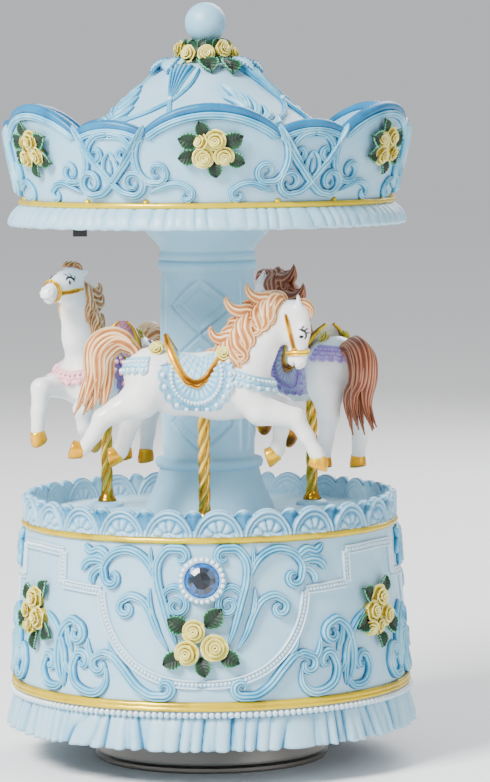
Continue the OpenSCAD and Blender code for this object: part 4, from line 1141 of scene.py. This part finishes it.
# A horse has its nose along +X and its height from the table. Poll and tail are (x, z), head is a slope.
HORSES = {
    "front_horse": {
        "legs": LEG_FRONT,
        "neck": [(9.5, 0, 104.5, 6.6), (12.6, 0, 110, 5.6), (16, 0, 115.4, 4.6), (20.4, 0, 119.2, 3.9)],
        "poll": (23.0, 123.2),
        "head": -86,
        "tail": [(-16.8, 108.6), (-18.8, 112.2), (-22.2, 113.4), (-25.6, 110.4), (-27.0, 105.6),
                 (-29.4, 100.4), (-29.8, 95.4)],
    },
    "left_horse": {
        "legs": LEG_LEFT,
        "neck": [(9.5, 0, 105, 6.4), (13.2, 0, 112, 5.0), (14.8, 0, 118, 4.1), (15.6, 0, 123, 3.7)],
        "poll": (13.0, 127.4),
        "head": -14,
        "tail": [(-16.4, 107.2), (-19.2, 110.0), (-23.0, 110.6), (-26.2, 107.2), (-27.4, 102.4),
                 (-27.6, 97.4), (-28.6, 93.0)],
    },
    "right_horse": {
        "legs": LEG_RIGHT,
        "neck": [(9.5, 0, 105, 6.4), (13, 0, 112, 5.2), (15.4, 0, 117.6, 4.4), (18, 0, 121.6, 3.8)],
        "poll": (19.4, 125.8),
        "head": -52,
        "tail": [(-15.8, 105.6), (-18.6, 108.2), (-22.0, 108.4), (-24.8, 105.0), (-25.6, 99.8),
                 (-24.8, 94.6), (-25.8, 88.0)],
    },
}
SKIN_LOW, SKIN_HIGH = (-36, -11, 78), (35, 11, 132)     # the box that holds any of the horses
SKIN_STEP = 0.45                        # size of the cells that its skin is found in
BARREL = [((-13.2, 0, 104.0, 7.3), (-7, 0, 101.7, 7.5)), ((-7, 0, 101.7, 7.5), (4, 0, 100.9, 7.9)),
          ((4, 0, 100.9, 7.9), (10.4, 0, 100.2, 7.5)), ((-2, 0, 103, 5.4), (5.5, 0, 106, 4.4))]


def head_point(horse, h, f, y=0.0):
    """A point of the head: h down its length from the poll, f towards the brow, y to the side."""
    a = math.radians(horse["head"])
    x0, z0 = horse["poll"]
    return np.array([x0 + h * math.cos(a) - f * math.sin(a), y, z0 + h * math.sin(a) + f * math.cos(a)])


def horse_field(horse):
    """How far any point lies outside a horse's skin."""
    def bone(h, f, r, y=0.0):
        return (*head_point(horse, h, f, y), r)

    def field(at):
        body = limb(at, *BARREL[0], 0.95)
        for part in BARREL[1:]:
            body = melt(body, limb(at, *part, 0.94), 3.0)
        for chain, _ in horse["legs"].values():
            leg = limb(at, chain[0], chain[1])
            for a, b in zip(chain[1:], chain[2:]):
                leg = melt(leg, limb(at, a, b), 1.0)
            body = melt(body, leg, 1.7)
        for a, b in zip(horse["neck"], horse["neck"][1:]):
            body = melt(body, limb(at, a, b, 0.8), 2.6)
        head = limb(at, bone(3.8, 0.5, 3.7), bone(8, 0.5, 3.3), 0.86)
        head = melt(head, limb(at, bone(6.6, -1.8, 3.2), bone(8.6, -1.6, 2.9), 0.9), 1.4)
        head = melt(head, limb(at, bone(8, 0.9, 2.8), bone(14, 0.7, 2.0), 0.88), 1.6)
        head = melt(head, limb(at, bone(14, 0.6, 2.0), bone(16.0, 0.4, 2.0), 1.0), 1.0)
        head = melt(head, limb(at, bone(13.2, -0.9, 1.2), bone(15.6, -1.3, 1.2), 1.1), 0.8)
        for y in (-1, 1):
            head = melt(head, limb(at, bone(16, 1.3, 0.9, y * 1.0), bone(16.6, 0.9, 0.9, y * 1.1)), 0.5)
            head = np.maximum(head, -limb(at, bone(16.6, 1.5, 0.34, y * 1.5), bone(17.4, 0.9, 0.4, y * 1.7)))
            head = melt(head, limb(at, bone(7.2, 2.0, 0.9, y * 2.3), bone(9.4, 1.7, 0.8, y * 2.1)), 1.2)
            ear_foot, ear_tip = bone(2.2, 1.6, 1.15, y * 1.9), bone(-1.2, 1.5, 0.3, y * 2.7)
            head = melt(head, limb(at, ear_foot, ear_tip), 0.6)
            head = np.maximum(head, -limb(at, bone(0.9, 2.9, 0.5, y * 2.3), bone(-0.6, 2.2, 0.2, y * 2.6)))
        head = np.maximum(head, -limb(at, bone(17.9, -0.7, 0.22, -2.2), bone(17.9, -0.7, 0.22, 2.2)))
        head = np.maximum(head, -limb(at, bone(18.2, -0.7, 0.3), bone(15.4, -0.8, 0.12), 9))
        return melt(body, head, 1.6)
    return field


def skin_hit(field, origin, direction, reach=12.0):
    """Where rays that start inside the skin leave it (origins and directions with a last axis of 3)."""
    origin, direction = np.broadcast_arrays(np.asarray(origin, float), np.asarray(direction, float))
    near, far = np.zeros(origin.shape[:-1]), np.full(origin.shape[:-1], reach)
    for _ in range(16):
        middle = (near + far) / 2
        point = origin + middle[..., None] * direction
        outside = field([point[..., 0], point[..., 1], point[..., 2]]) > 0
        near, far = np.where(outside, near, middle), np.where(outside, middle, far)
    return origin + near[..., None] * direction


def on_carousel(station):
    """Takes a horse's own coordinates, nose along +X, to its place on the ring of poles."""
    a = math.radians(station)

    def place(points):
        points = np.asarray(points, float)
        out, on = POLE_R - points[..., 1], points[..., 0]
        return np.stack([out * math.cos(a) - on * math.sin(a), out * math.sin(a) + on * math.cos(a),
                         points[..., 2]], -1)
    return place


# ---------------------------------------------------------------- horses: hair, hooves and tack
def lock(shape, path, r, out, flat=0.6, ridges=3, tip=0.5, wave=0.0, phase=0.0):
    """A lock of hair along a path, ridged lengthwise and waved, its flat side turned towards out."""
    path = np.asarray(path, float)
    if wave:
        sway = np.cross(np.broadcast_to(out, path.shape), headings(path))
        run = np.linspace(0, 1, len(path))[:, None]
        path = path + sway * wave * run * np.sin(TAU * 1.5 * run + phase)
    tangent = headings(path)
    across = np.cross(np.broadcast_to(out, path.shape), tangent)
    across /= np.linalg.norm(across, axis=1, keepdims=True) + 1e-9
    up = np.cross(tangent, across)
    t = np.linspace(0, 1, len(path))[:, None]
    phi = np.arange(18)[None] * TAU / 18
    comb = np.cos(2 * ridges * phi)
    size = r * (0.55 + 0.45 * np.clip(t / 0.2, 0, 1)) * np.clip((1 - t) / tip, 0.06, 1) ** 0.7
    width = size * (1 + 0.13 * comb)
    grid = (path[:, None] + (width * np.cos(phi))[..., None] * across[:, None]
            + (flat * width * np.sin(phi))[..., None] * up[:, None])
    # painted shade and highlight: the ridges of the lock are paler and the grooves between them darker
    shape.grid(grid, 0.5 + 0.5 * comb + 0 * t, wrap_v=True, caps=True)


def strand(knots):
    """A smooth path through knots that are given as x, z and y."""
    return smooth_path([(x, y, z) for x, z, y in knots], 7)


def mane(horse, dice):
    """Locks along the crest: some lie down the sides of the neck and some fly back from it."""
    hair = Shape()
    crest = [(x, z) for x, _, z, _ in horse["neck"]]
    nodes = smooth_path([*crest, tuple(head_point(horse, 2.5, -0.5)[[0, 2]])], 8)
    radii = np.interp(np.linspace(0, 1, len(nodes)), np.linspace(0, 1, 5), [6.2, 5.4, 4.5, 3.8, 3.2])
    along = headings(nodes)
    back = np.stack([-along[:, 1], along[:, 0]], -1)

    def crest_at(share):
        """The crest's middle, its backward and upward directions and its radius, share of the way up."""
        k = int(share * (len(nodes) - 1))
        return nodes[k], back[k], along[k], radii[k]
    for side in (-1, 1):
        for i in range(11):
            c, b, t, r = crest_at(0.14 + 0.84 * i / 10)
            reach = dice.uniform(0.85, 1.25)
            knots = [(*(c + b * r * 0.85), 0.3 * side),
                     (*(c + b * (r + 1.0) - t * 0.8), 1.4 * side),
                     (*(c + b * (r * 0.75) - t * 2.8 * reach), (r * 0.62 + 0.9) * side),
                     (*(c + b * r * 0.35 - t * 5.4 * reach), (r * 0.84 + 0.7) * side),
                     (*(c + b * (r * 0.28 + dice.uniform(0, 1.6)) - t * 7.8 * reach), (r * 0.9 + 0.9) * side)]
            lock(hair, strand(knots), dice.uniform(1.4, 1.9), (0, side, 0.25), 0.7, wave=1.5,
                 phase=dice.uniform(0, 2.6))
    for i in range(10):
        c, b, t, r = crest_at(0.1 + 0.9 * i / 9)
        fly = dice.uniform(0.6, 1.1)
        sway = dice.uniform(-0.8, 0.8)
        knots = [(*(c + b * r * 0.8), sway * 0.4),
                 (*(c + b * (r + 1.4 * fly) - t * 0.6), sway),
                 (*(c + b * (r + 2.4 * fly) - t * 2.6), sway * 1.6),
                 (*(c + b * (r + 3.2 * fly) - t * 4.6), sway * 2),
                 (*(c + b * (r + 4.8 * fly) - t * 5.4), sway * 2.2)]
        lock(hair, strand(knots), dice.uniform(1.5, 1.9), (0.1, 1, 0.2), 0.8, wave=1.3,
             phase=dice.uniform(0, TAU))
    for share, length in ((0.3, 0.75), (0.58, 1.0), (0.84, 1.0)):
        c, b, t, r = crest_at(share)
        away = 0.45 * b + np.array([-0.75, 0.0])
        for sway in (-1.0, 0.9):
            knots = [(*(c + b * r * 0.75), sway),
                     (*(c + b * r + away * 2.0 * length), sway * 1.2),
                     (*(c + b * r + away * 4.4 * length - np.array([0, 0.9])), sway),
                     (*(c + b * r + away * 6.4 * length - np.array([0, 0.7])), sway * 0.6),
                     (*(c + b * r + away * 7.6 * length + np.array([0, 0.7])), 0.2),
                     (*(c + b * r + away * 7.4 * length + np.array([0, 2.0])), 0.0)]
            lock(hair, strand(knots), 1.6, (0.1, 1, 0.2), 0.8, tip=0.6)
    for side in (-1, 0, 1):
        path = [head_point(horse, 1.8, 0.6, side * 0.7), head_point(horse, 0.9, 2.6, side * 1.0),
                head_point(horse, 2.6, 4.6, side * 1.3), head_point(horse, 5.0, 4.5, side * 1.7)]
        lock(hair, smooth_path(path, 6), 1.0, (0, 1, 0.3), 0.8)
    return hair


def tail(path, hair, dice):
    """An arched tail of twisted locks whose ends part and curl."""
    locks = 13
    for i in range(locks):
        a = TAU * i / locks
        off, width = 1.9 * math.cos(a), 2.2 * math.sin(a)
        end = (dice.uniform(-2.6, 3.0), dice.uniform(-1.6, 1.2), dice.uniform(-2.6, 2.6))
        knots = []
        for j, (x, z) in enumerate(path):
            spread = 0.4 + 0.6 * min(j / 3, 1)
            late = max(0, j - 4) / 2
            knots.append((x - off * spread * (0.7 if j < 3 else 1) + end[0] * late,
                          width * spread + end[1] * late,
                          z + (off * spread * 0.9 if j < 4 else off * 0.3) + end[2] * late))
        lock(hair, smooth_path(knots, 7), dice.uniform(1.5, 1.9), (0, 1, 0.15), 0.8, tip=0.35, wave=1.5,
             phase=3.2 + dice.uniform(-0.5, 0.5))


def hooves(horse, gilt):
    """Painted hooves that flare to a flat sole, darker towards the sole as painted shade."""
    rings = [(-0.9, 0.0, 1.5), (-0.6, 0.0, 1.95), (0.0, 0.05, 2.05), (1.2, 0.3, 2.3), (2.3, 0.5, 2.4),
             (2.75, 0.5, 2.3), (2.9, 0.5, 1.4), (2.85, 0.5, 0.1)]
    phi = np.arange(24) * TAU / 24
    for chain, (fx, fz) in horse["legs"].values():
        x, y, z, _ = chain[-1]
        forward = np.array([fx, 0, fz]) / math.hypot(fx, fz)
        down = np.array([forward[2], 0, -forward[0]])
        if chain[-2][2] < z:
            down = -down
        reach = np.where(np.cos(phi) < 0, 0.86, 1.26) * np.cos(phi)
        sole = reach[:, None] * forward + np.sin(phi)[:, None] * np.array([0, 0.9, 0])
        circles = []
        for drop, push, r in rings:
            centre = np.array([x, y, z]) + down * (drop + 0.3) + forward * push
            circles.append(centre + r * sole)
        # painted shade: the hoof darkens from the top down to the sole
        tone = np.linspace(0.75, 0.2, len(rings)) + 0 * phi[:, None]
        gilt.grid(np.stack(circles, 1), tone, wrap_u=True)


def band_on_skin(shape, skin, start, direction, lift, paint, mat, flip=False):
    """A relief band that lies on the skin where rays from a grid of starting points meet it."""
    hit = skin_hit(skin, start, direction)
    shape.grid(hit + np.broadcast_to(direction, hit.shape) * lift[..., None], paint, mat, flip=flip)


def saddle(tack, gilt):
    """Cross-hatched seat with a gilded rim that sweeps from cantle to pommel on both sides."""
    rim = smooth_path([(-9.6, 1.2, 114.4), (-9.0, 3.4, 112.6), (-7.9, 5.4, 110.0), (-6.3, 7.0, 106.6),
                       (-4.4, 8.0, 103.9), (-1.8, 8.3, 102.5), (0.8, 7.9, 103.5), (2.7, 6.8, 105.9),
                       (4.3, 4.9, 108.3), (4.9, 2.4, 110.4), (5.0, 0.9, 111.0)], 6)
    share = np.linspace(0, 1, len(rim))
    top = np.stack([np.interp(share, (0, 0.3, 0.6, 1), (-9.4, -7.2, -1.5, 4.9)),
                    np.zeros(len(rim)),
                    np.interp(share, (0, 0.12, 0.35, 0.65, 0.85, 1),
                              (114.6, 112.8, 109.9, 109.4, 110.2, 111.2))], -1)
    phi = np.linspace(-math.pi / 2, math.pi / 2, 41)[None]
    cover = np.cos(phi)[..., None]
    side = np.sin(phi)
    seat = rim[:, None] * (1 - cover) * np.array([1, 0, 1]) + top[:, None] * cover
    seat[..., 1] = rim[:, 1:2] * side
    row = np.linspace(0, 13, len(rim))[:, None]
    across = 7 * phi / math.pi
    hatch = np.minimum(np.abs((row + across) % 1 - 0.5), np.abs((row - across) % 1 - 0.5))
    groove = hump(hatch, 0, 0.1)
    # painted shade: the hatched grooves of the seat are darker and the raised squares between them paler
    tack.grid(seat + np.array([0, 0, 1]) * (0.12 - 0.22 * groove)[..., None], 0.35 + 0.5 * (1 - groove))
    wave = np.sin(np.linspace(0, 9 * TAU, len(rim)))
    for s in (-1, 1):
        edge = rim * np.array([1, s, 1])
        lock(gilt, edge, 0.95, (0, s, 0.3), 0.75, 1, tip=0.04)
        piping = edge + np.stack([0 * wave, s * 0.5 + 0 * wave, -0.8 + 0.2 * wave], -1)
        lock(gilt, piping[4:-4], 0.4, (0, s, 0.3), 0.8, 1, tip=0.04)


def saddle_cloth(tack, skin):
    """A draped, scalloped cloth with stripes, a row of beads and a bead in each scallop."""
    first, sweep, lobes = -208, 236, 13
    middle_x, middle_z = -1.4, 104.6
    stretch_x, stretch_z = 0.95, 1.08
    inner, outer = 3.2, 9.6
    alpha = np.radians(np.linspace(first, first + sweep, 150))[:, None]
    turn = alpha - math.radians(first)
    t = np.linspace(0, 1, 20)[None]
    wave = np.abs(np.sin(turn / math.radians(sweep) * math.pi * lobes))
    rho = inner + (outer + 1.1 * wave ** 0.7 - inner) * t
    x = middle_x + rho * np.cos(alpha) * stretch_x
    z = middle_z + rho * np.sin(alpha) * stretch_z
    z = np.clip(z, 95.2 + 0.05 * np.abs(x), 108.2 - 0.10 * np.abs(x))
    stripes = np.cos(turn * 24) * hump(t, 0.2, 0.13, 4)
    lift = 0.75 + 0.12 * stripes + 0.3 * hump(t, 0.62, 0.035) + 0.4 * hump(t, 0.95, 0.05)
    lift = lift - 1.6 * np.clip((t - 0.97) / 0.03, 0, 1)
    # painted shade and highlight: raised stripes are paler and the dark line at 0.66 is painted shade beside
    # the ridge at 0.62; the dark line at 0.38 has no groove under it and is a painted line of the cloth
    paint = 0.62 + 0.25 * stripes - 0.45 * hump(t, 0.66, 0.04) - 0.3 * hump(t, 0.38, 0.03)
    bead, knob = ball(0.52, 5, 9), ball(0.72, 5, 9)
    for s in (-1, 1):
        out = np.array([0.0, s, 0.0])
        start = np.stack([x, 0 * x, z], -1)
        band_on_skin(tack, skin, start, out, lift, np.clip(paint, 0.02, 1), 2, flip=s < 0)
        for count, share, what, raise_by in ((30, 0.5, bead, 1.0), (lobes, 0.8, knob, 0.95)):
            for i in range(count):
                a = math.radians(first + sweep * (i + 0.5) / count)
                r = inner + (outer + 0.8 - inner) * share
                spot_x = middle_x + stretch_x * r * math.cos(a)
                spot_z = min(max(middle_z + stretch_z * r * math.sin(a), 95.6), 108.0)
                hit = skin_hit(skin, np.array([spot_x, 0, spot_z]), out)
                tack.copy_in(what, moved(hit + out * raise_by), 1)


def girdle(tack, skin, centre_x, heights, angles, lobes, width):
    """A scalloped, beaded collar round the chest or the rump."""
    steps = 110
    theta = np.radians(np.linspace(*angles, steps))[:, None]
    t = np.linspace(0, 1, 16)[None]
    u = np.linspace(0, 1, steps)[:, None]
    wave = np.abs(np.sin(u * math.pi * lobes))
    top = np.interp(u, np.linspace(0, 1, len(heights)), heights)
    z = top - (width + 1.0 * wave ** 0.7) * t
    start = np.stack([centre_x + 0 * z, 0 * z, z], -1)
    heading = spun(1, theta, 0 * z)
    lift = 0.55 + 0.3 * hump(t, 0.06, 0.05) + 0.25 * hump(t, 0.52, 0.04)
    lift = lift + 0.35 * hump(t, 0.93, 0.06) - 1.4 * np.clip((t - 0.97) / 0.03, 0, 1)
    lift = lift - 1.2 * np.clip((0.03 - t) / 0.03, 0, 1)
    # painted shade: dark lines lie beside the raised ridges at 0.06 and 0.52
    paint = 0.75 - 0.5 * hump(t, 0.6, 0.05) - 0.35 * hump(t, 0.16, 0.04)
    band_on_skin(tack, skin, start, heading, lift + 0 * z, paint + 0 * z, 3)
    bead = ball(0.5, 5, 9)
    for row, count, size in ((0.3, lobes * 2 + 1, 0.5), (0.78, lobes, 0.62)):
        for i in range(count):
            share = (i + 0.5) / count
            a = math.radians(angles[0] + (angles[1] - angles[0]) * share)
            height = np.interp(share, np.linspace(0, 1, len(heights)), heights) - (width + 0.8) * row
            out = spun(1, a, 0)
            hit = skin_hit(skin, np.array([centre_x, 0, height]), out) + out * 0.75
            tack.copy_in(bead, moved(hit, size / 0.5), 1)


def bridle(horse, gilt, skin):
    """Noseband, cheek straps and headstall."""
    a = math.radians(horse["head"])
    brow = np.array([-math.sin(a), 0, math.cos(a)])
    side = np.array([0, 1.0, 0])
    turn = np.linspace(0, TAU, 49)[:-1]
    heading = np.cos(turn)[:, None] * brow + np.sin(turn)[:, None] * side
    for h, r in ((13.4, 0.52), (14.1, 0.3)):
        ring = skin_hit(skin, head_point(horse, h, 0.3), heading, 5) + heading * 0.12
        lock(gilt, np.concatenate([ring, ring[:2]]), r, (math.cos(a), 0, math.sin(a)), 1.0, 1, tip=0.01)
    strap = zip(np.linspace(3.4, 13.4, 20), np.linspace(-2.0, -0.4, 20))
    spots = np.array([head_point(horse, h, f) for h, f in strap])
    for s in (-1, 1):
        out = np.array([0.0, s, 0.0])
        lock(gilt, skin_hit(skin, spots, out, 6) + out * 0.12, 0.55, (0, s, 0), 0.7, 1, tip=0.02)
        knob = skin_hit(skin, head_point(horse, 13.0, -0.4), out, 6)
        gilt.copy_in(ball(0.95, 5, 10), moved(knob, np.array([1, 0.5, 1])))


def eyes(horse, ink, skin):
    """Painted eyes with an arched lid, a pupil and three lashes."""
    for s in (-1, 1):
        out = np.array([0.0, s, 0.0])

        def mark(points, r):
            spots = np.array([head_point(horse, 9.0 + dh, 0.9 + df) for dh, df in points])
            path = skin_hit(skin, spots, out, 6) + out * 0.05
            lock(ink, smooth_path(path, 4), r, out, 0.7, 1, tip=0.3)
        mark([(1.2, 1.5), (0.4, 1.9), (-0.6, 1.8), (-1.3, 0.9), (-1.5, 0.1)], 0.27)
        mark([(-1.3, 0.9), (-1.9, 1.2), (-2.3, 1.8)], 0.16)
        mark([(-0.9, 1.5), (-1.3, 2.1), (-1.4, 2.7)], 0.16)
        mark([(-0.2, 1.9), (-0.3, 2.4), (-0.2, 3.0)], 0.16)
        mark([(0.3, 0.2), (0.5, 0.7), (0.3, 1.3)], 0.34)


def build_horse(node, station, tack_looks, hair_look, seed):
    """One horse in its skin, hair, tack (seat, beads, cloth and bands), gilding, eyes and roses."""
    horse = HORSES[node]
    dice = random.Random(seed)
    place = on_carousel(station)
    skin = horse_field(horse)
    hair = mane(horse, dice)
    coat, tack, gilt, ink, flowers = [Shape() for _ in range(5)]
    points, faces = skin_mesh(skin, SKIN_LOW, SKIN_HIGH, SKIN_STEP)
    # painted shade: the coat is greyer lower down and paler higher up
    shade = np.clip(0.5 + (points[:, 2] - 100) / 60, 0, 1)
    coat.add(points, faces, shade)
    tail(horse["tail"], hair, dice)
    hooves(horse, gilt)
    saddle(tack, gilt)
    saddle_cloth(tack, skin)
    girdle(tack, skin, 9.0, (106.2, 104.2, 103.0, 104.2, 106.2), (-100, 100), 11, 3.4)
    girdle(tack, skin, -12.6, (109.4, 109.2, 108.6, 109.2, 109.4), (98, 262), 10, 3.6)
    bridle(horse, gilt, skin)
    eyes(horse, ink, skin)
    for s in (-1, 1):
        for x, z, lean, size in ((5.4, 109.0, 0.9, 1.9), (-12.0, 110.6, 0.8, 1.8)):
            spot = skin_hit(skin, np.array([x, 0, z - 1.5]), np.array([0, s * lean, 0.45]), 9)
            out = np.array([0, s * 0.85, 0.5])
            axes = np.stack([np.array([1.0, 0, 0]), np.cross(out, [1.0, 0, 0]), out])
            flowers.copy_in(ROSES[1], lambda p, c=spot, m=axes, k=size: (p * k) @ m + c + m[2] * 0.6)
    layers = [("coat", coat, [HORSE], "horse_resin"),
              ("hair", hair, [hair_look], "horse_resin"),
              ("tack", tack, tack_looks, "horse_resin"), ("gilt", gilt, [HOOF], "gold"),
              ("eyes", ink, [INK], "horse_resin"), ("roses", flowers, [ROSE, LEAF], "rose_cream")]
    for label, shape, looks, slot_name in layers:
        placed = Shape()
        placed.copy_in(shape, place)
        placed.build(node + "_" + label, looks, "carousel", (node,) if label == "coat" else (), slot_name)


def pole(node, station):
    """A barley-twist tube that ends in a flared foot."""
    low, high = mm_box(node)
    steps, pitch = 72, 18.0
    axis = spun(POLE_R, math.radians(station), 0)
    heights = np.linspace(low[2], high[2] - 0.5, 220)
    phi = (np.arange(steps) * TAU / steps)[:, None]
    rise = heights - low[2]
    flute = np.abs(np.sin(2 * (phi - TAU * rise[None] / pitch))) ** 0.7
    quiet = np.clip((rise - 1.2) / 2, 0, 1)
    r = 1.62 + 0.9 * hump(rise, 0, 1.3) - 0.48 * (1 - flute) * quiet
    grid = spun(r, phi, heights) + axis
    shape = Shape()
    # painted shade and highlight: flute crests are paler and the grooves between them darker
    shape.grid(grid, 0.25 + 0.6 * flute * quiet, wrap_u=True, flip=True)
    for end in (0, -1):
        shape.fan(grid[:, end], axis + np.array([0, 0, heights[end]]), 0.4, flip=end == 0)
    return shape.build("twisted_" + node, [PLATE], "carousel", (node,), "gold")


# ---------------------------------------------------------------- build everything
dress_cad_nodes()
base_shell()
hem()
pearl_rows()
gold_band("lower_gold_band", 20.0, 52.0, [(-0.4, 0), (0.9, 0.1), (1.25, 0.7), (0.95, 1.25), (1.15, 1.7),
                                          (0.7, 2.4), (-0.4, 2.5)])
gold_band("upper_gold_band", DECK_Z - 2.7, 49.0, [(-0.3, 0), (0.6, 0.1), (1.1, 0.9), (0.6, 1.7), (-0.3, 1.8)])
gold_band("canopy_gold_band", 147.0, 48.9, [(-0.4, 0), (0.5, 0.1), (0.95, 0.75), (0.6, 1.5), (-0.4, 1.7)])
lace_rim()
column()
skirt()
crown_wall_piece()
crown_scrolls()
roof()
roof_relief()
finial_ball()
drum_scrolls()
drum_frame()
for station, gem_node in zip(STATIONS, ("front_gem", "right_gem", "left_gem")):
    medallion(station, gem_node)
base_roses()
crown_roses()
finial_wreath()
for station, pole_node in zip(HORSE_ANGLES, ("front_pole", "right_pole", "left_pole")):
    pole(pole_node, station)
build_horse("front_horse", HORSE_ANGLES[0], [TACK_BLUE, PEARL, TACK_BLUE, TACK_BLUE], PEACH, 11)
build_horse("right_horse", HORSE_ANGLES[1], [TACK_IVORY, TACK_LILAC, TACK_LAVENDER, TACK_LILAC], CHESTNUT, 12)
build_horse("left_horse", HORSE_ANGLES[2], [TACK_MAUVE, TACK_PINK, TACK_PURPLE, TACK_PINK], PEACH, 13)


# ---------------------------------------------------------------- floor, light and camera
def area_light(name, spot, aim, size, power, colour=(1, 1, 1)):
    """A square lamp at spot, turned towards aim."""
    lamp = bpy.data.lights.new(name, "AREA")
    lamp.size, lamp.energy, lamp.color = size, power, colour
    holder = bpy.data.objects.new(name, lamp)
    holder.location = spot
    holder.rotation_euler = (Vector(aim) - Vector(spot)).to_track_quat("-Z", "Y").to_euler()
    bpy.context.collection.objects.link(holder)


def studio():
    """A plain pale floor, a key light from the upper left, a weak fill, a light behind and a soft sky."""
    floor_mesh = bpy.data.meshes.new("floor")
    floor_mesh.from_pydata([(-4, -3, 0), (4, -3, 0), (4, 5, 0), (-4, 5, 0)], [], [(0, 1, 2, 3)])
    floor = bpy.data.objects.new("floor", floor_mesh)
    bpy.context.collection.objects.link(floor)
    material = bpy.data.materials.new("floor")
    material.use_nodes = True
    paper = {"Base Color": (0.98, 0.98, 0.98, 1), "Roughness": 0.7}
    set_inputs(material.node_tree.nodes["Principled BSDF"], paper)
    floor_mesh.materials.append(material)
    world = bpy.data.worlds.new("sky")
    bpy.context.scene.world = world
    world.use_nodes = True
    set_inputs(world.node_tree.nodes["Background"], {"Color": (0.95, 0.97, 1, 1), "Strength": 0.62})
    middle = (0, 0, 0.1)
    area_light("key", (-0.55, -0.6, 0.75), middle, 0.35, 27.0, (1, 0.99, 0.97))
    area_light("fill", (0.7, -0.6, 0.35), middle, 0.6, 2.0)
    area_light("back", (0.3, 0.7, 0.6), middle, 0.5, 6.0)


def camera():
    """The view that the object is photographed from: level with the crown, looking slightly down."""
    data = bpy.data.cameras.new("camera")
    data.sensor_fit = "VERTICAL"
    data.sensor_height = 36
    data.lens = 168
    data.clip_end = 20
    view = bpy.data.objects.new("camera", data)
    down, roll, swing = 4.66, 0.47, -0.61
    view.location = (0, -0.966, 0.1759)
    view.rotation_euler = (math.radians(90 - down), math.radians(roll), math.radians(swing))
    bpy.context.collection.objects.link(view)
    bpy.context.scene.camera = view


studio()
camera()
